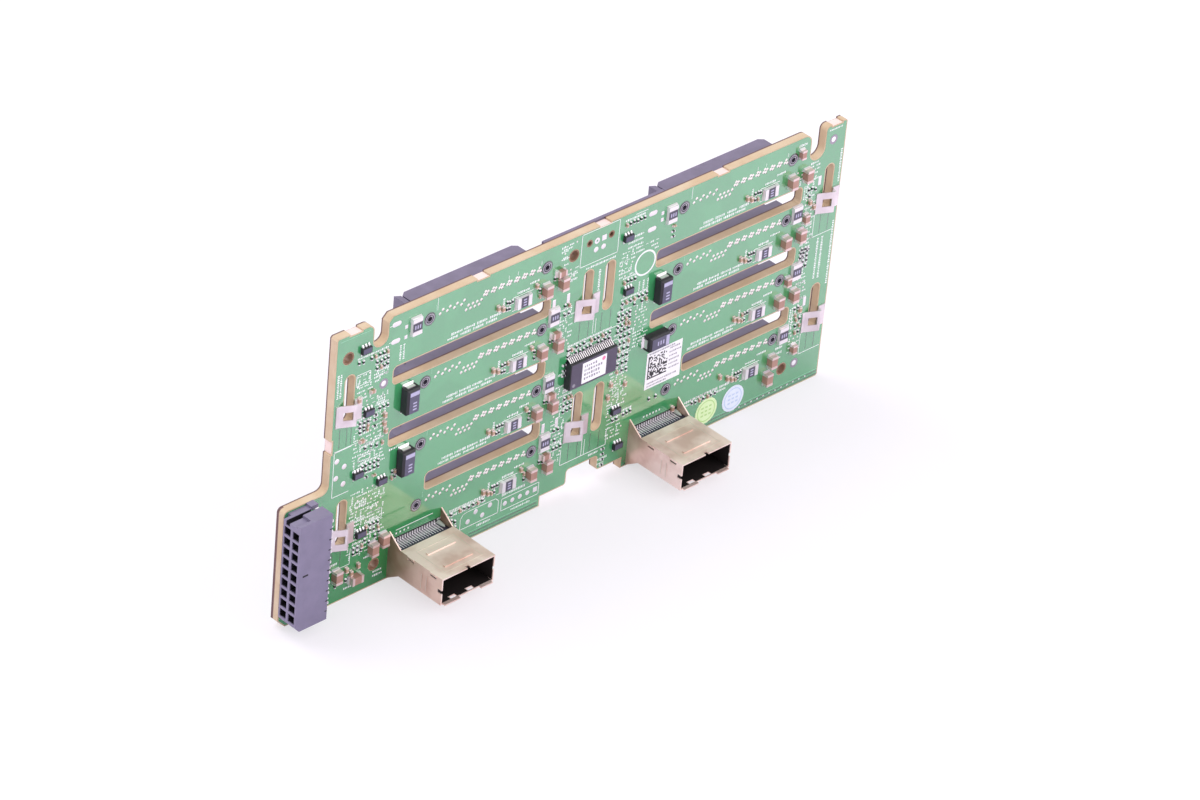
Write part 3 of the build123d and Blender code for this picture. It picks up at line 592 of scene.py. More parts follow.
def islands(node):
    """Edges of each separate solid in a node: left, right, bottom, top, lowest and highest."""
    mesh = welded(node)
    waiting = set(mesh.verts)
    found = []
    while waiting:
        border = [waiting.pop()]
        group = list(border)
        while border:
            near = [e.other_vert(v) for v in border for e in v.link_edges]
            border = [v for v in set(near) if v in waiting]
            waiting.difference_update(border)
            group += border
        xs = [(v.co.x - ORIGIN_X) / MM for v in group]
        zs = [(v.co.z - ORIGIN_Z) / MM for v in group]
        ws = [(FACE_Y - v.co.y) / MM for v in group]
        found.append((min(xs), max(xs), min(zs), max(zs), min(ws), max(ws)))
    mesh.free()
    return sorted(found)


def middles(node):
    """Middle and size on the board of each solid in a node."""
    return [((l + r) / 2, (b + t) / 2, r - l, t - b) for l, r, b, t, _, _ in islands(node)]


def tiny_part(relief, x, z, along_x, length, width, height):
    """Chip resistor or capacitor with wrapped ends and its two solder fillets."""
    cap = length * 0.2

    def ends(between):
        dx, dz = laid(along_x, between / 2, 0.0)
        return (x - dx, z - dz), (x + dx, z + dz)

    relief.eased(oblong(x, z, *laid(along_x, length - 2 * cap, width)), PAD, PAD + height, 0.03, 1)
    for place in ends(length - cap):
        relief.eased(oblong(*place, *laid(along_x, cap, width + 0.05)), PAD, PAD + height + 0.03, 0.06)
    for place in ends(length + 0.1 - cap):
        foot = oblong(*place, *laid(along_x, cap + 0.14, width + 0.08))
        relief.loft([(foot, MASK), (foot, PAD), (shrunk(foot, 0.12), PAD + 0.2)])


def solder_caps(solder, kind, reach, spare):
    """Pads and sloped fillets at both ends of the frame's two-terminal parts of a kind."""
    for x, z, _, _ in middles(f"{kind}_bodies"):
        for cx, cz, across, up in middles(f"{kind}_caps"):
            if abs(cx - x) + abs(cz - z) >= 2.6:
                continue
            lying = abs(cx - x) > abs(cz - z)
            along, over = laid(lying, across, up)
            dx, dz = laid(lying, math.copysign(1, cx - x if lying else cz - z), 0.0)
            base = oblong(cx + dx * reach / 2, cz + dz * reach / 2, *laid(lying, along + reach, over + spare))
            top = oblong(cx + dx * 0.05, cz + dz * 0.05, *laid(lying, along + 0.1, over + 0.04))
            solder.loft([(base, 0), (base, PAD), (top, PAD + 0.55)])


def solder_ends():
    """Solder at the terminals of the parts that the frame carries, and painted shade under the chip's pins.
    """
    solder = Relief()
    solder_caps(solder, "chip_fuse", 0.3, 0.2)
    solder_caps(solder, "ceramic_capacitor", 0.3, 0.1)
    solder_caps(solder, "small_capacitor", 0.35, 0.2)
    for x, z, across, up in middles("tantalum_terminals"):
        base = oblong(x, z, across + 0.9, up + 0.9)
        solder.loft([(base, 0), (base, PAD), (oblong(x, z, across + 0.1, up + 0.1), 0.5)])
    for x, z, across, up in middles("small_chip_leads"):
        base = oblong(x, z, across + 0.25, up + 0.35)
        solder.loft([(base, 0), (base, PAD), (oblong(x, z, across, up * 0.6), 0.26)])
    left, right, bottom, top, _, _ = box_of("controller_chip")
    for x, z, across, up in middles("controller_pins"):
        side = math.copysign(1, z - (bottom + top) / 2)
        solder.plate(oblong(x, z + side * (up / 2 + 0.1), across, 0.5), 0, PAD)
    solder.piece("part_solder", "tin_plate", TIN)
    # Painted shade: dark strips on the board under the chip's two rows of pins.
    shade = Relief()
    for z in (bottom - 0.5, top + 0.5):
        shade.plate(oblong((left + right) / 2, z, right - left - 0.6, 1.3), 0, MASK + 0.01)
    shade.piece("pin_painted_shade", "board_laminate", PAINTED_SHADE_BLACK)


def chip_feet():
    """Three soldered feet along each long side of every small chip, and a lighter plate of painted light on
    the chips' tops.
    """
    feet, tops = Relief(), Relief()
    for edges in islands("small_chip_bodies"):
        left, right, bottom, top, _, high = edges
        x = (left + right) / 2
        for z, side in ((top, 1), (bottom, -1)):
            for step in (-0.95, 0.0, 0.95):
                base = oblong(x + step, z + side * 0.38, 0.46, 0.7)
                feet.loft([(base, 0), (base, 0.12), (oblong(x + step, z + side * 0.12, 0.4, 0.24), 0.5)])
        # Painted light: a lighter plate over each small chip's top face.
        tops.eased(face_of(edges, 0.3, 0.3), high, high + 0.03, 0.02)
    feet.piece("small_chip_feet", "tin_plate", BRIGHT_TIN)
    tops.piece("small_chip_lit_tops", "chip_resin", LIT_TOP_RESIN)


def peg_collars():
    """Heads of the connectors' pegs: a pale rim, a dark collar, a black plate of painted shade in the bore
    and a painted glint.
    """
    rims, collars, bore_shade = Relief(), Relief(), Relief()
    profile = ((1.44, -0.3), (1.44, 0.03), (1.34, 0.09), (0.82, 0.09), (0.7, 0.0), (0.7, -0.3))
    for column in COLUMNS:
        for z in ROW_ZS:
            for x in (column, column + PEG_SPACING):
                rims.ring(x, z, 1.5, 1.86, 0.0, MASK, 2, count=24)
                rims.ring(x, z, 1.18, 1.46, 0.08, 0.13, count=24)
                rims.ring(x, z, 0.71, 0.88, 0.08, 0.12, count=20)
                # Painted highlight: a small white glint on each peg head.
                rims.dome(disc(x + 0.56, z + 0.62, 0.16, 8), 0.08, 0.16, 1)
                collars.loft([(disc(x, z, r, 24), w) for r, w in profile], 0, closed=True)
                # Painted shade: a black plate deep in each bore.
                bore_shade.plate(disc(x, z, 0.71, 16), -0.75, -0.45)
    rims.piece("peg_rims", "connector_plastic", PALE_SLATE, SILK, DEEP_GREEN)
    collars.piece("peg_collars", "connector_plastic", DARK_SLATE)
    bore_shade.piece("peg_bore_shade", "connector_plastic", PAINTED_SHADE_BLACK)


def hole_rims():
    """Brown walls of the plain holes, and the three sighting marks: a bright dot in a bare ring."""
    rims, marks = Relief(), Relief()
    upper = ((SIDE + 4.0, -1.2), (SPINE - 9.6, 0))
    lower = ((SIDE + 16.8, BOTTOM + 6.3), (RIGHT - 14.3, BOTTOM + 7.6))
    for x, z in upper + lower:
        rims.ring(x, z, 1.3, 1.5, -THICKNESS, 0.0)
        rims.ring(x, z, 1.5, 1.7, 0.0, 0.04)
    for x in (SPINE - 4.5, SPINE + 2.9):
        rims.ring(x, 1.6, 0.6, 0.74, -THICKNESS, 0.0)
        rims.ring(x, 1.6, 0.74, 1.0, 0.0, 0.04)
    for x, z in ((SIDE + 16.0, -13.0), (RIGHT - 4.5, 0.9), (RIGHT - 9.6, BOTTOM + 7.6)):
        marks.ring(x, z, 0.8, 1.4, 0.0, 0.045)
        marks.dome(disc(x, z, 0.8, 20), 0.0, 0.08, 1)
    rims.piece("hole_rims", "board_laminate", BARE_BROWN)
    marks.piece("sighting_marks", "tin_plate", DULL_TIN, BRIGHT_TIN)


def connector_vias(far=False):
    """Lands of the drive connectors' vias: signal pairs, the middle cluster and the power row."""
    vias, hole_shadows = Relief(far), Relief(far)
    for column in COLUMNS:
        for z in ROW_ZS:
            places = []
            for x in (3.3, 5.6, 7.9, 10.2):
                places += [(x, z + 0.2), (x + 0.9, z + 1.1)]
            for x in (11.9, 13.3, 14.7, 16.1):
                places += [(x, z - 2.0), (x + 0.7, z - 0.9)]
            for x, _ in run(17.6, z, 8, VIA_STEP):
                places += [(x, z + 0.15), (x + 0.45, z + 0.9), (x + 0.8, z - 0.05), (x + 1.25, z + 0.65)]
            places.pop()
            for x, height in places:
                vias.dome(disc(column + x, height, 0.44, 10), 0, 0.16)
                # The dark centre is set off below and to the right: partly the via's hole, partly a painted
                # shadow under the land.
                hole_shadows.plate(disc(column + x + 0.16, height - 0.26, 0.15, 7), 0.02, 0.15)
    vias.piece("via_lands_far" if far else "via_lands", "tin_plate", VIA_TIN)
    hole_shadows.piece("via_hole_shadows_far" if far else "via_hole_shadows", "tin_plate", HOLE_AND_SHADOW_BROWN)


# Print


def word(relief, x, z, length, height=0.6, upright=False, base=MASK):
    """Row of short bars that stands for a printed reference."""
    place = 0.0
    while place < length - 0.2:
        bar = chance.choice((0.18, 0.3, 0.3, 0.42))
        tall = height * chance.choice((1.0, 1.0, 0.8, 0.6))
        if upright:
            shape = oblong(x, z - place - bar / 2, tall, bar)
        else:
            shape = oblong(x + place + bar / 2, z, bar, tall)
        relief.plate(shape, base, base + INK - MASK)
        place += bar + 0.2


def words(relief, *rows, **style):
    """Printed references of one style, each given by its place and length."""
    for x, z, length in rows:
        word(relief, x, z, length, **style)


def rules(relief, width, *ends, heights=(MASK, INK)):
    """Straight lines of one width, each from one point to another."""
    for x0, z0, x1, z1 in ends:
        relief.plate(capsule(x0, z0, x1, z1, width), *heights)


def outline(relief, x0, x1, z0, z1, width=0.18, gaps=()):
    """Printed box; sides named in gaps are left out."""
    sides = {
        "left": (x0, z0, x0, z1), "right": (x1, z0, x1, z1),
        "bottom": (x0, z0, x1, z0), "top": (x0, z1, x1, z1),
    }
    rules(relief, width, *(ends for side, ends in sides.items() if side not in gaps))


def domes(relief, places, radius, height, count=16):
    """Round solder bumps."""
    for x, z in places:
        relief.dome(disc(x, z, radius, count), 0, height)


def spine_print():
    """Boxes, rings and rules printed round the spine, its slots and the spare footprint."""
    silk = Relief()
    outline(silk, 49.8, 62.5, -4.5, 4.9)
    outline(silk, 49.0, 64.8, -62.6, -58.0, gaps=("top",))
    silk.ring(72.9, -11.6, 3.15, 3.65, MASK, INK, count=40)
    rules(silk, 0.18, (49.0, -27.0, 65.0, -27.0))
    rules(silk, 0.16, (68.0, 4.3, 72.0, 4.3))
    for x in (56.3, 57.2):
        rules(silk, 0.16, (x, -58.0, x, -62.5), (x, -22.0, x, -26.0))
    for x, z in ((64.3, -9.0), (66.0, -8.7), (65.2, -11.5), (67.6, -11.4)):
        silk.ring(x, z, 0.42, 0.56, MASK, INK)
    for x, z in ((66.2, -46.6), (67.2, -48.6)):
        silk.ring(x, z, 0.6, 0.75, MASK, INK)
    words(silk, (66.2, -2.2, 5.4), (66.2, -3.6, 5.4), (66.2, -5.0, 5.4))
    words(silk, (71.5, -16.6, 3.8), (73.0, -16.6, 3.8), (74.5, -16.6, 3.8), upright=True)
    words(silk, (59.0, -63.6, 3.4), (52.0, -5.6, 10.0))
    words(silk, (57.0, -7.5, 9.0), height=0.7, upright=True)
    words(silk, (43.0, 3.6, 2.4), (43.0, 2.4, 2.4), (43.2, 0.2, 2.6), (47.0, -5.4, 2.4), (47.0, -6.9, 2.4))
    words(silk, *((45.6, row + 1.6, 2.8) for row in ROW_ZS[1:]))
    silk.piece("spine_print", "board_laminate", SILK)


def left_print():
    """Print in the left field: part outlines, references and the boxes round the header's corner."""
    silk = Relief()
    outline(silk, -28.3, -23.0, -40.2, -27.2, gaps=("right",))
    outline(silk, -22.6, -18.2, -10.6, -7.4)
    outline(silk, -12.8, -11.0, -2.0, 2.6, gaps=("right", "left"))
    outline(silk, -20.4, -16.6, -33.2, -31.8)
    outline(silk, -15.8, -11.4, -52.6, -49.8, gaps=("left",))
    rules(silk, 0.16, (-28.3, -27.0, -20.5, -27.0))
    rules(silk, 0.16, (-28.0, -62.5, -21.0, -62.5), (-21.0, -62.5, -21.0, -58.0))
    rules(silk, 0.2, (-6.0, -58.9, 6.0, -58.9))
    words(silk, (-28.5, -5.0, 7.0), (-27.6, -5.0, 7.0), upright=True)
    words(silk, (-16.2, -8.6, 4.0), (-16.2, -10.0, 4.0), (-15.6, -16.4, 2.8), (-15.6, -17.8, 2.8))
    words(silk, (-19.6, -29.0, 4.4), (-19.6, -31.2, 4.4))
    words(silk, (-20.4, -45.0, 3.6), (-20.4, -46.4, 3.6), (-20.4, -50.4, 3.6))
    words(silk, (-8.9, -4.0, 4.4), (-7.8, -4.0, 4.4), upright=True)
    words(silk, (-10.4, -33.6, 2.6), (-16.4, -48.2, 3.4), (-27.8, -60.6, 3.0), (-16.4, -62.8, 3.8))
    words(silk, (-22.4, -69.4, 4.6), (-13.0, -68.4, 3.2), (-13.0, -69.6, 3.2))
    silk.piece("left_print", "board_laminate", SILK)


def drive_print():
    """Print that repeats with every drive position."""
    silk = Relief()
    for column in COLUMNS:
        for z in ROW_ZS:
            words(silk, *((column + x, z - 7.4, 3.6) for x in (7.6, 11.8, 16.0, 20.2)), height=0.75)
            words(silk, *((column + x, z - 8.5, 3.6) for x in (6.4, 10.6, 14.8, 19.0)), height=0.7)
            outline(silk, column + 27.6, column + 34.2, z - 8.5, z - 4.7, gaps=("left", "right"))
            word(silk, column + 29.0, z - 3.9, 3.8, 0.7)
            word(silk, column + 24.6, z - 3.6, 2.6, 0.7, upright=True)
            word(silk, column + 33.0, z - 2.6, 3.4)
        for x, tall in ((2.4, 3.4), (25.6, 0.9), (28.6, 0.9), (36.4, 1.0)):
            rules(silk, 0.12, (column + x, 1.6, column + x, 1.6 + tall))
    silk.piece("drive_print", "board_laminate", SILK)


def lower_print():
    """Footprints, rules and dashes along the lower edge and above the cable sockets."""
    silk = Relief()
    corners = [(15.7, -65.0), (16.6, -63.8), (18.0, -63.6), (27.4, -63.6), (28.5, -64.6), (28.5, -68.2)]
    corners += [(15.7, -68.2), corners[0]]
    rules(silk, 0.18, *(start + stop for start, stop in zip(corners, corners[1:])))
    outline(silk, 29.5, 42.2, -68.2, -64.7)
    words(silk, (21.5, -69.2, 4.6), (33.0, -69.2, 6.6))
    words(silk, (29.5, -63.5, 7.6), height=0.7)
    words(silk, (17.0, -62.6, 7.0))
    for x, z in run(78.0, -59.6, 6, 1.1):
        silk.plate(oblong(x, z, 0.5, 0.5), MASK, INK)
    for x, z in run(-7.2, -59.9, 5, 1.3):
        silk.plate(oblong(x, z, 0.45, 0.5), MASK, INK)
    for x in (62.4, 91.6):
        words(silk, (x, -66.4, 3.4), (x, -67.8, 2.6), height=0.7)
    silk.plate(oblong(97.0, -68.9, 2.0, 1.2), MASK, INK)
    silk.piece("lower_print", "board_laminate", SILK)


def right_print():
    """Print down the right side: rules under the hook slots, columns of references and side marks."""
    silk = Relief()
    for top, foot in ((-20.2, -27.0), (-56.4, -62.6)):
        rules(silk, 0.18, (134.0, foot, 141.6, foot), (134.0, top, 134.0, foot))
    words(silk, (136.0, 4.0, 5.0), height=0.4)
    words(silk, (141.5, -3.0, 10.0), (141.5, -24.5, 19.0), height=0.7, upright=True)
    words(silk, (136.4, -28.0, 12.6), (138.0, -28.0, 12.6), height=0.7, upright=True)
    words(silk, (125.2, 3.2, 3.2), height=0.9)
    for x in (129.1, 129.9):
        words(silk, (x, -10.0, 4.2), (x, -47.0, 6.0), height=0.5, upright=True)
    words(silk, *((125.0, z, 2.4) for z in (-57.6, -59.2, -60.8)), height=0.7)
    for row in ROW_ZS[:3]:
        words(silk, (130.4, row - 3.8, 3.0), (130.4, row - 8.8, 3.4), height=0.7)
    silk.piece("right_print", "board_laminate", SILK)


def traces():
    """Wide copper tracks that show through the lacquer, pale or dark."""
    pale, deep = Relief(), Relief()
    for column in COLUMNS:
        for z in ROW_ZS:
            rules(pale, 0.2, (column + 2.0, z + 3.1, column + 2.0, z + 1.6), heights=TRACK)
    rules(pale, 0.2, (-28.4, 4.2, -19.0, 4.2), heights=TRACK)
    rules(pale, 0.25, (19.0, -70.2, 42.0, -70.2), (95.0, -70.2, 142.0, -70.2), heights=TRACK)
    for z in (-70.8, -71.7):
        rules(deep, 0.3, (19.0, z, 42.0, z), (95.0, z, 142.0, z), (72.0, z, 76.0, z), heights=TRACK)
    uprights = (
        (-21.0, -26.5, (-27.0, -24.7, -23.3, 51.6, 54.7, 59.1, 62.2)),
        (-57.0, -61.8, (-27.0, -24.2)),
        (-57.0, -62.4, (51.6, 54.7, 59.1, 62.2)),
        (-20.4, -26.5, (136.4, 139.3)),
        (-57.0, -62.0, (136.4, 139.3)),
    )
    for top, foot, places in uprights:
        rules(deep, 0.2, *((x, top, x, foot) for x in places), heights=TRACK)
    pale.piece("pale_tracks", "board_laminate", TRACE_GREEN)
    deep.piece("deep_tracks", "board_laminate", DEEP_GREEN)


def bare_pads():
    """Tinned pads of the footprints left empty."""
    pads = Relief()
    for x, z in ((-10.7, 2.7), (-10.7, -2.2), (74.0, 2.4), (74.1, -2.3)):
        pads.dome(capsule(x - 0.8, z, x + 0.8, z, 1.4), 0, 0.16)
    for x, z in ((-7.5, 0.7), (-7.5, -2.2), (77.4, 1.2), (77.4, -0.7)):
        pads.plate(oblong(x, z, 0.9, 1.0), 0, PAD)
    for x, z in ((41.9, -12.0), (46.7, -12.0), (41.9, -48.5), (46.5, -48.5), (134.4, -10.0), (134.0, -46.3)):
        pads.eased(oblong(x, z, 1.0, 2.7), 0, 0.12, 0.05)
    pads.ring(SPINE - 2.0, 1.5, 0.32, 0.85, 0, PAD)
    pads.plate(oblong(SPINE + 0.4, 1.6, 1.5, 1.5), 0, PAD)
    domes(pads, ((SPINE - 2.1, -1.0), (SPINE + 0.4, -1.0)), 0.8, 0.16)
    domes(pads, ((-27.3, -30.0), (-24.8, -32.4), (-27.3, -34.9), (-24.8, -37.4)), 0.8, 0.16)
    domes(pads, ((18.3, -66.7), (20.8, -64.7), (23.2, -66.7), (25.6, -64.7)), 0.75, 0.16)
    domes(pads, run(30.8, -66.4, 4, 2.54), 0.72, 0.16)
    pads.plate(oblong(41.0, -66.4, 1.4, 1.4), 0, PAD)
    for x, z in run(113.5, -70.9, 12, 2.2):
        pads.plate(oblong(x, z, 0.5, 0.4), 0, PAD)
    pads.piece("bare_pads", "tin_plate", TIN)


def tiny_parts():
    """Chip resistors and small capacitors too fine for the frame, field by field."""
    resistors, capacitors, references = Relief(), Relief(), Relief()

    def row(*places, along_x=False):
        """Resistors, a few of them capacitors, long rows with gaps and a printed reference above."""
        for x, z in places:
            if len(places) > 5 and chance.random() < 0.16:
                continue
            x += chance.uniform(-0.1, 0.1)
            z += chance.uniform(-0.14, 0.14)
            if chance.random() < 0.14:
                tiny_part(capacitors, x, z, along_x, 1.05, 0.46, 0.5)
            else:
                tiny_part(resistors, x, z, along_x, 1.05, 0.46, 0.32)
        (first, z), last = places[0], places[-1][0]
        if last - first > 2.0:
            word(references, first - 0.5, z + 1.15, last - first + 1.0)

    def runs(*rows):
        for each in rows:
            row(*run(*each))

    def capacitors_at(*places, along_x=False, length=1.5, width=0.8):
        for x, z in places:
            tiny_part(capacitors, x, z, along_x, length, width, 0.7)

    runs((-22.2, -3.9, 8, 1.3), (-16.3, -5.9, 4, 1.15), (-16.3, -7.5, 4, 1.15), (-14.5, -19.6, 3, 1.3))
    row((-15.8, -21.0), (-15.8, -22.6), (-15.8, -24.2), along_x=True)
    runs(*((-20.6, z, 3, 1.25) for z in (-21.8, -23.0, -24.2)))
    row((-18.4, -29.6), (-16.6, -29.6), (-14.8, -30.2), (-13.0, -30.2))
    runs((-19.0, -34.9, 5, 1.3), (-19.0, -36.5, 5, 1.3))
    row((-9.0, -40.4), (-8.0, -40.4), (-9.0, -42.0), (-8.0, -42.0))
    row((-17.4, -38.4), (-14.8, -38.8), along_x=True)
    runs((-16.4, -53.4, 4, 1.3), (-16.4, -55.0, 4, 1.3))
    row((-16.6, -57.2), (-15.0, -58.6), (-13.2, -57.4), (-12.0, -56.6))
    runs((-20.0, -58.4, 3, 1.25), (-20.0, -59.8, 3, 1.25))
    row((-23.4, -66.6), (-22.0, -67.0), (-25.4, -67.4))
    capacitors_at((-12.8, -22.2), (-12.8, -24.6), (-21.6, -14.6), (-12.2, -26.9))
    capacitors_at((-17.4, -13.6), (-19.8, -27.0), along_x=True)
    capacitors_at((-22.0, -63.8), (-20.4, -65.4), (-18.2, -64.0))

    for z in ROW_ZS:
        row((41.4, z - 4.4), (42.6, z - 4.6), (36.4, z - 5.6), (36.4, z - 7.4))
        capacitors_at((35.2, z - 4.0), length=1.3, width=0.7)
        for column in COLUMNS:
            capacitors_at((column + 22.6, z - 5.6), (column + 24.2, z - 6.4))
            runs((column + 25.6, z - 5.4, 3, 0.9))
            row((column + 25.6, z - 7.2), (column + 26.5, z - 7.2))

    for x, z in ((45.8, -14.0), (47.2, -14.0), (45.8, -16.4), (47.2, -16.4), (45.8, -50.6), (47.2, -50.6)):
        row((x, z))
    row((46.2, -53.6))
    runs((46.0, -56.2, 3, 1.2))
    row((48.2, -28.0), (49.4, -28.0), (48.2, -29.8))
    runs((65.0, 2.4, 6, 1.2), (66.0, -14.8, 4, 1.2), (66.0, -21.0, 7, 1.4), (66.0, -22.6, 7, 1.4))
    runs(*((65.2, z, 4, 1.3) for z in (-24.4, -26.0, -27.6, -29.2)))
    runs((48.6, -27.9, 12, 1.25), (48.6, -29.5, 12, 1.25))
    row((81.8, -4.0), (81.8, -5.6), (81.8, -7.2), along_x=True)
    row((47.4, -31.8), (47.4, -33.4), (47.4, -35.0), along_x=True)
    runs(*((66.4, z, 3, 1.5) for z in (-31.0, -33.0, -35.0, -37.0, -39.2, -41.4)))
    runs(*((48.4, z, 3, 1.2) for z in (-42.4, -44.2, -46.0)))
    runs((70.2, -55.5, 3, 1.2))
    row((79.0, -54.6), (81.5, -54.6), (66.4, -56.0), (67.8, -56.0), (69.2, -59.0), (69.2, -60.6))
    row((64.0, -63.5), (64.0, -65.1), (64.0, -66.7), (64.0, -68.3), along_x=True)
    runs((12.2, -62.0, 8, 1.5), (95.2, -62.4, 7, 1.4))
    row((12.6, -64.0), (13.8, -64.6), (12.8, -66.0), (14.0, -66.6))
    capacitors_at((64.5, -44.4), (69.5, -46.0), (63.8, -48.0), (88.0, -61.0), (104.6, -58.0))

    for z in ROW_ZS[:3]:
        row((130.6, z - 11.4), (131.8, z - 11.4), (133.0, z - 12.0), (131.0, z - 13.4))
    runs(*((130.2, z, 3, 1.2) for z in (-30.4, -31.8, -33.2, -34.6)))
    row((131.4, -51.0), (132.8, -51.0), (131.4, -53.0), (132.8, -53.0), (131.4, -55.0), (132.8, -55.0))
    capacitors_at((131.4, -15.4), (133.0, -17.2), (132.4, -48.2))

    references.piece("small_references", "board_laminate", SILK)
    resistors.piece("tiny_resistors", "chip_resin", BRIGHT_TIN, RESIN)
    capacitors.piece("tiny_capacitors", "ceramic_brown", CAP_TIN, CERAMIC_TAN)


def scattered_print():
    """Small references, strokes and vias that crowd the fields of small parts, clear of the holes."""
    silk, vias = Relief(), Relief()
    fields = (
        (43.6, 49.4, 3.8, -8.0), (43.6, 49.0, -15.0, -26.0), (44.0, 49.4, -38.0, -61.0),
        (63.6, 77.0, -6.0, -14.0), (63.6, 70.5, -30.0, -62.0), (70.5, 76.0, -24.0, -36.0),
        (-22.6, -11.6, -8.0, -36.0), (-22.4, -10.6, -42.0, -61.0),
        (124.6, 134.0, -4.8, -9.0), (129.2, 133.8, -10.0, -61.0),
    )
    holes = ((SPINE - 9.6, 0, 3.0), (72.9, -11.6, 4.6), (SIDE + 16.0, -13.0, 2.8))
    for x0, x1, z, z0 in fields:
        while z > z0:
            x = x0 + chance.uniform(0, 1.0)
            while x < x1 - 0.8:
                kind = chance.random()
                if any(math.hypot(x + 0.6 - hx, z - hz) < reach for hx, hz, reach in holes):
                    kind = 1.0
                if kind < 0.5:
                    word(silk, x, z, 1.4, 0.5)
                elif kind < 0.68:
                    word(silk, x + 0.3, z + 0.5, 1.3, 0.5, upright=True)
                elif kind < 0.78:
                    silk.plate(oblong(x + 0.5, z, 0.9, 0.14), MASK, INK)
                elif kind < 1.0:
                    vias.dome(disc(x + 0.4, z, 0.3, 8), 0, 0.08)
                x += chance.uniform(1.4, 2.1)
            z -= chance.uniform(0.9, 1.3)
    silk.piece("scattered_print", "board_laminate", SILK)
    vias.piece("scattered_vias", "tin_plate", VIA_TIN)


def far_side():
    """Plain print and lands of the drive side: a frame round each connector, references and vias."""
    silk, lands = Relief(far=True), Relief(far=True)
    for number in range(1, 2 * ROWS + 1):
        left, right, bottom, top, _, _ = box_of(f"drive_connector_{number}")
        outline(silk, left - 0.5, right + 0.5, bottom - 0.5, top + 0.5, 0.14)
        word(silk, left + 1.0, bottom - 1.4, 3.6)
    groups = [(-23.0, -20.0), (50.0, -30.0), (66.0, -34.0), (66.0, -58.0), (131.0, -30.0)]
    groups += [(2.0, -66.5), (84.0, -66.5)]
    for x, z in groups:
        words(silk, (x, z, 5.0), (x, z - 1.4, 3.6))
        for step in range(7):
            lands.dome(disc(x + step * 0.9, z - 3.0 - chance.uniform(0, 2.0), 0.35, 8), 0, 0.08)
    for x in SOCKET_XS:
        domes(lands, ((x - 8.5, -66.0), (x + 8.5, -66.0)), 0.9, 0.35, count=14)
    silk.piece("far_print", "board_laminate", SILK)
    lands.piece("far_lands", "tin_plate", VIA_TIN)


# Labels and the parts' own marks


def label_print():
    """Generic print on the paper labels: a speckled code square, grey rules and a coloured dot."""
    dark, grey, dot = Relief(), Relief(), Relief()
    left, _, bottom, top, _, low = box_of("serial_label")
    start, upper = left + 0.6, top - 1.3
    count = 18
    cell = 6.8 / count
    for i in range(count):
        for j in range(count):
            edge = i == 0 or j == count - 1
            if edge or chance.random() < 0.44:
                square = oblong(start + (i + 0.5) * cell, upper - (j + 0.5) * cell, cell, cell)
                dark.plate(square, low, low + PRINT)
    for line, length in enumerate((3.6, 4.0, 2.6, 3.8, 3.0, 3.8)):
        word(grey, start + 7.4, upper - 1.2 * line, length, 0.5, base=low)
    for z, length in ((top - 0.6, 9.0), (bottom + 1.6, 10.0), (bottom + 0.7, 7.0)):
        word(grey, left + 0.8, z, length, 0.5, base=low)
    left, right, _, top, _, low = box_of("controller_label")
    for line, length in enumerate((4.0, 5.6, 4.8, 5.4)):
        z = top - 1.1 - 1.2 * line
        place = left + 0.7
        while place < left + 0.7 + length:
            bar = chance.choice((0.3, 0.5, 0.5))
            grey.plate(oblong(place + bar / 2, z, bar, chance.choice((0.5, 0.7))), low, low + PRINT)
            place += bar + 0.35
    dot.plate(disc(right - 1.0, top - 1.0, 0.6, 16), low, low + PRINT)
    dark.piece("label_marks", "label_paper", BLACK_INK)
    grey.piece("label_rules", "label_paper", GREY_INK)
    dot.piece("label_dot", "label_paper", PINK_INK)


def sticker_print():
    """Faint generic pattern on the two round stickers."""
    stickers = (("green_sticker", "dot_label_1", GREEN_MARK), ("blue_sticker", "dot_label_2", BLUE_MARK))
    for slot, node, finish in stickers:
        left, right, bottom, top, _, high = box_of(node)
        x, z = (left + right) / 2, (bottom + top) / 2
        marks = Relief()
        marks.ring(x, z, 2.9, 3.2, high, high + PRINT, count=28)
        for up in (-1.2, 0.0, 1.2):
            for across in (-1.4, 0.0, 1.4):
                marks.plate(oblong(x + across, z + up, 0.9, 0.5), high, high + PRINT)
        marks.piece(f"{slot}_marks", slot, finish)


def tantalum_marks(marks, number):
    """Lighter top of painted light, polarity band and code of one tantalum capacitor."""
    edges = left, right, bottom, top, _, high = box_of(f"tantalum_capacitor_{number}")
    x, z = (left + right) / 2, (bottom + top) / 2
    upright = top - bottom > right - left
    # Painted light: a lighter plate over the capacitor's top face.
    marks.plate(face_of(edges, 1.0, 0.8), high, high + 0.012, 1)
    band = oblong(x, top - 1.15, 2.9, 1.1) if upright else oblong(right - 1.15, z, 1.1, 2.9)
    marks.plate(band, high, high + PRINT)
    for step in (0.0, 0.9, 1.8):
        code = oblong(x + 0.2, z - 0.3 - step, 1.2, 0.4) if upright else oblong(x - 0.9 + step, z, 0.4, 1.2)
        marks.plate(code, high, high + PRINT)


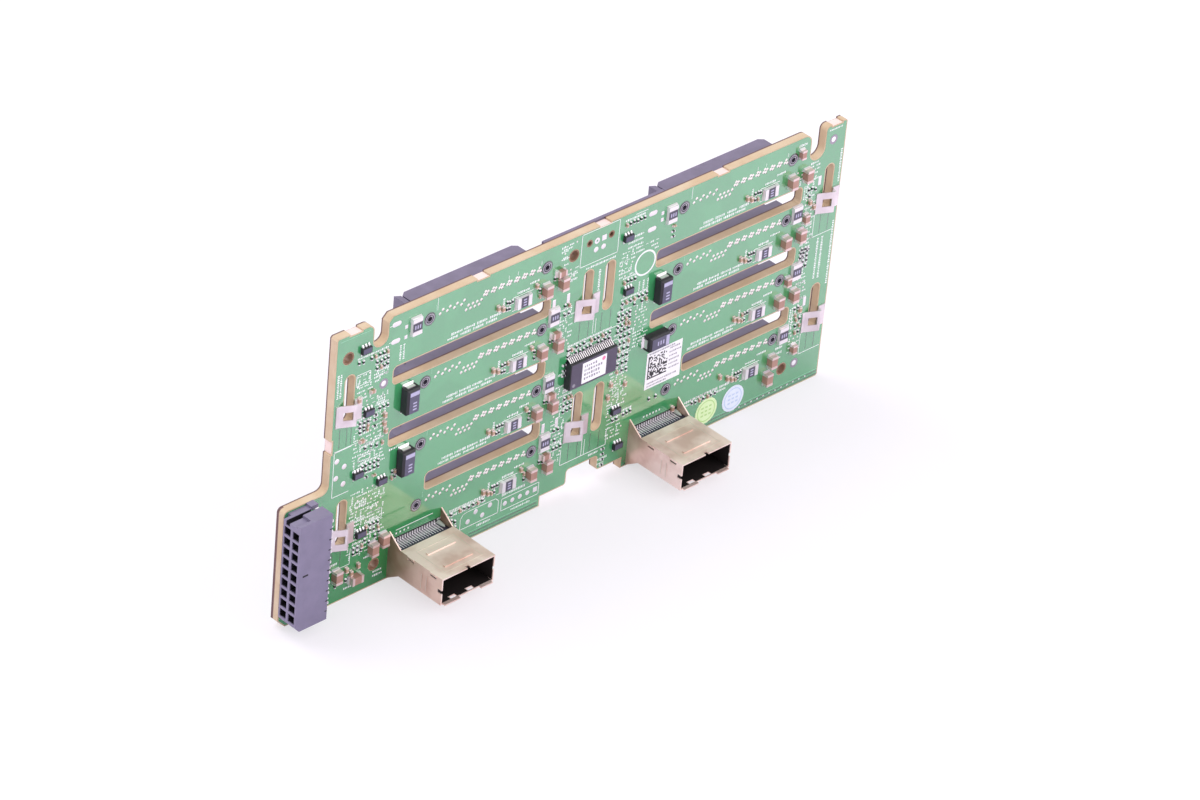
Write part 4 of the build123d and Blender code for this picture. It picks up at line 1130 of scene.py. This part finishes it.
def part_marks():
    """Marks on the tantalum capacitors, glaze and codes on the fuses, and the controller's lighter face of
    painted light.
    """
    marks, face, dot = Relief(), Relief(), Relief()
    for number in range(1, 5):
        tantalum_marks(marks, number)
    glazed = islands("chip_fuse_caps")[0][5] + 0.04
    for left, right, bottom, top, _, high in islands("chip_fuse_bodies"):
        x, z = (left + right) / 2, (bottom + top) / 2
        lying = right - left > top - bottom
        marks.eased(oblong(x, z, *laid(lying, 3.0, 2.3)), high, glazed, 0.04, 2)
        for step in (-0.75, 0.0, 0.75):
            dx, dz = laid(lying, step, 0.0)
            marks.plate(oblong(x + dx, z + dz, *laid(lying, 0.36, 1.0)), glazed, glazed + 0.015)
    marks.piece("part_marks", "chip_resin", PALE_INK, LIT_TOP_RESIN, GLAZE)
    edges = left, _, bottom, _, _, high = box_of("controller_chip")
    # Painted light: a lighter plate over the controller's top face.
    face.plate(face_of(edges, 0.3, 0.3), high, high + 0.012)
    face.piece("controller_painted_lit_face", "chip_resin", CHIP_LIT_TOP)
    dot.plate(disc(left + 1.3, bottom + 1.2, 0.5, 16), high, high + 0.015)
    dot.piece("first_pin_dot", "chip_resin", GREY_INK)


# Header and cable sockets


def header_details():
    """Dark sheets of painted shade in the header's ways and along its top groove, dark marks on its outer
    face, and its solder joints.
    """
    left, right, bottom, top, _, outer = box_of("power_header_housing")
    half = WAY_SIZE / 2
    mouth = left + 0.3 + WAY_DEPTH / 2
    shade_sheets, tails, lines = Relief(), Relief(), Relief()
    for way in range(WAYS):
        z = bottom + WAY_FOOT + half + way * WAY_PITCH
        for w in WAY_ROWS:
            # Painted shade: dark sheets on the walls of each way, down to the shaded depth.
            for wall in (SHADE_SHEET / 2 - half, half - SHADE_SHEET / 2):
                shade_sheets.plate(oblong(mouth, z + wall, WAY_DEPTH, SHADE_SHEET), w - half, w + half)
                face = w + wall - SHADE_SHEET / 2
                shade_sheets.plate(oblong(mouth, z, WAY_DEPTH, WAY_SIZE), face, face + SHADE_SHEET)
        lines.plate(oblong(right - 0.35, z - 0.9, 0.7, 0.3), outer, outer + PRINT)
        tails.dome(disc(right + 1.2, z, 1.0, 14), 0, 0.8)
        tails.plate(oblong(right + 0.1, z - 0.55, 0.5, 0.28), outer - 0.5, outer - 0.1)
    shade_sheets.piece("way_painted_shade", "header_plastic", PAINTED_SHADE_BLACK)
    tails.piece("header_solder", "tin_plate", BRIGHT_TIN)
    middle, length = (left + right) / 2 - 1.0, right - left - 2.4
    lines.plate(oblong(left + 2.4, (bottom + top) / 2 + 0.6, 1.7, 0.5), outer, outer + PRINT)
    # Painted shade: a dark wall and floor in the groove along the header's top.
    lines.plate(oblong(middle, top - 1.76, length, 0.06), 2.02, 3.38)
    lines.plate(oblong(middle, top - 1.2, length, 1.0), 2.0, 2.04)
    lines.piece("header_shade_and_marks", "header_plastic", PAINTED_SHADE_BLACK)


def socket_leads(number):
    """Comb between a socket's upper leads, dark sheets of painted shade behind and round them, and the post
    at one end.
    """
    comb, floor, post = Relief(), Relief(), Relief()
    leads = islands(f"cable_socket_leads_{number}")
    upper = max(lead[3] for lead in leads)
    row = [lead for lead in leads if lead[3] > upper - 0.1]
    start, stop = row[0][0], row[-1][1]
    right = box_of(f"cable_socket_shell_{number}")[1]
    for before, after in zip(row, row[1:]):
        comb.plate(oblong((before[1] + after[0]) / 2, upper - 1.1, 0.3, 0.8), 2.5, 4.3)
    # Painted shade: a dark strip behind the upper leads and a dark plate on the board round them.
    floor.plate(oblong((start + stop) / 2, upper - 1.3, stop - start + 1.2, 0.1), MASK, 5.0)
    floor.plate(oblong((start + right) / 2, upper - 0.5, right - start - 0.9, 1.7), 0, MASK + 0.01)
    post.dome(disc(right - 1.0, upper - 1.2, 0.75, 16), 0, 2.6)
    comb.piece(f"lead_comb_{number}", "insulator_plastic", COMB)
    floor.piece(f"lead_painted_shade_{number}", "insulator_plastic", PAINTED_SHADE_BLACK)
    post.piece(f"socket_post_{number}", "insulator_plastic", POST)


def socket_shell(number):
    """Pressed lines on a socket's cover and left wall, and dark sheets of painted shade inside its mouth."""
    lines, shade_sheets = Relief(), Relief()
    left, right, _, _, _, mouth = box_of(f"cable_socket_shell_{number}")
    centre = (left + right) / 2
    under = BOTTOM + SHELL_LOW
    over = under + SHELL_RISE
    middle = (under + over) / 2
    for w in (7.0, 17.6):
        lines.plate(oblong(centre + 0.4, over + 0.02, 12.6, 0.06), w - 0.07, w + 0.07)
    for x in (left + 2.9, right - 2.4):
        lines.plate(oblong(x, over + 0.02, 0.14, 0.06), 7.0, 17.6)
    for w in (12.4, 14.2):
        lines.plate(oblong(left - 0.01, middle - 0.4, 0.04, 4.2), w, w + 0.16)
    lines.piece(f"cover_frame_{number}", "shell_steel", SHELL_RIB)

    # Painted shade: dark sheets just inside the shell's ceiling, walls and floor between the windows.
    near, far, windows = 9.8, mouth - 1.05, mouth - 2.2
    inner = (right - left) / 2 - SHELL_SHEET
    ceiling, floor = over - SHELL_SHEET - 0.02, under + SHELL_SHEET + 0.02
    shade_sheets.plate(oblong(centre, ceiling, 2 * inner, SHADE_SHEET), near, far)
    shade_sheets.plate(oblong(centre, floor, 2 * inner, SHADE_SHEET), near, windows)
    for start, stop in FLOOR_RUNS:
        shade_sheets.plate(oblong(left + (start + stop) / 2, floor, stop - start, SHADE_SHEET), windows, far)
    for wall in (centre - inner + 0.02, centre + inner - 0.02):
        shade_sheets.plate(oblong(wall, middle, SHADE_SHEET, SHELL_RISE - 2 * SHELL_SHEET), near, far)
    shade_sheets.piece(f"mouth_painted_shade_{number}", "insulator_plastic", SHADE_BROWN)


def break_faces():
    """Pale snapped faces in the break-out dips of the top and left edges."""
    faces = Relief()
    behind, front = -THICKNESS + 0.1, -0.1
    for step in range(-2, 3):
        x = SPINE + 0.6 + step * DIP_PITCH
        if SIDE < x < RIGHT:
            faces.plate(oblong(x, TOP - DIP_DEPTH + 0.02, DIP_LENGTH, 0.04), behind, front)
    faces.plate(oblong(SIDE + DIP_DEPTH - 0.02, -25.4, 0.04, DIP_LENGTH), behind, front)
    faces.piece("break_faces", "board_laminate", SNAPPED)


chance = random.Random(7)
dress_nodes()
mask_sheet("solder_mask_front", board_low.y, -1)
mask_sheet("solder_mask_back", board_high.y, 1)
solder_ends()
chip_feet()
peg_collars()
hole_rims()
connector_vias()
connector_vias(far=True)
spine_print()
left_print()
drive_print()
lower_print()
right_print()
traces()
bare_pads()
tiny_parts()
scattered_print()
far_side()
label_print()
sticker_print()
part_marks()
header_details()
for socket in (1, 2):
    socket_leads(socket)
    socket_shell(socket)
break_faces()


# Stage, light and camera


def white_stage(half=4.0, glow_share=0.62):
    """Pale floor that keeps the shadow and partly glows for the camera alone."""
    mesh = bpy.data.meshes.new("floor")
    corners = [(-half, -half, 0), (half, -half, 0), (half, half, 0), (-half, half, 0)]
    mesh.from_pydata(corners, [], [(0, 1, 2, 3)])
    floor = linked("floor", mesh)
    material = bpy.data.materials.new("floor_white")
    n = Nodes(material)
    n.tree.nodes.clear()
    rays = n.add("LightPath").outputs
    share = n.add("Math", {0: rays["Is Camera Ray"], 1: glow_share}, operation="MULTIPLY").outputs[0]
    matt = n.add("BsdfDiffuse", {"Color": (0.92, 0.87, 0.97, 1)}).outputs[0]
    glow = n.add("Emission", {"Color": (1, 0.99, 1, 1)}).outputs[0]
    mixed = n.add("MixShader", {0: share, 1: matt, 2: glow}).outputs[0]
    n.add("OutputMaterial", {"Surface": mixed})
    mesh.materials.append(material)


def white_world(level=0.88):
    """Even pale light; the camera, gloss and glass see plain white."""
    world = bpy.data.worlds.new("studio")
    bpy.context.scene.world = world
    n = Nodes(world)
    n.tree.nodes.clear()
    rays = n.add("LightPath").outputs
    plain = rays["Is Camera Ray"]
    for kind in ("Is Glossy Ray", "Is Transmission Ray"):
        plain = n.add("Math", {0: plain, 1: rays[kind]}, operation="MAXIMUM").outputs[0]
    soft = n.add("Background", {"Color": (0.98, 0.95, 1.0, 1), "Strength": level}).outputs[0]
    white = n.add("Background", {"Color": (1, 1, 1, 1)}).outputs[0]
    mixed = n.add("MixShader", {0: plain, 1: soft, 2: white}).outputs[0]
    n.add("OutputWorld", {"Surface": mixed})


def soft_box(name, place, aim, size, watts):
    """Large soft lamp aimed at a point."""
    data = bpy.data.lights.new(name, "AREA")
    data.shape = "SQUARE"
    data.size = size
    data.energy = watts
    lamp = linked(name, data)
    lamp.location = place
    lamp.rotation_mode = "QUATERNION"
    lamp.rotation_quaternion = (Vector(aim) - Vector(place)).to_track_quat("-Z", "Y")


CAMERA_PLACE = Vector((-0.8264, -0.7868, 0.7865))
CAMERA_AZIMUTH = -46.667
CAMERA_ELEVATION = 33.453
CAMERA_ROLL = 5.536
CAMERA_LENS = 166.29
SENSOR = 36.0


def photo_camera():
    """Camera at the photograph's place, with its lean."""
    data = bpy.data.cameras.new("camera")
    data.lens = CAMERA_LENS
    data.sensor_width = SENSOR
    data.sensor_fit = "HORIZONTAL"
    data.clip_start = 0.05
    data.clip_end = 20
    camera = linked("camera", data)
    placed = Matrix.Translation(CAMERA_PLACE)
    for angle, axis in ((CAMERA_AZIMUTH, "Z"), (90 - CAMERA_ELEVATION, "X"), (CAMERA_ROLL, "Z")):
        placed = placed @ Matrix.Rotation(math.radians(angle), 4, axis)
    camera.matrix_world = placed
    bpy.context.scene.camera = camera


white_stage()
white_world()
soft_box("high_back_light", (-0.35, 0.7, 1.1), (0, 0, 0.03), 0.9, 9)
soft_box("front_light", (0.5, -1.0, 0.9), (0, 0, 0.04), 0.9, 6)
soft_box("left_light", (-1.2, -0.25, 0.5), (0, 0, 0.04), 0.7, 1.0)
photo_camera()
bpy.context.scene.view_settings.view_transform = "Standard"
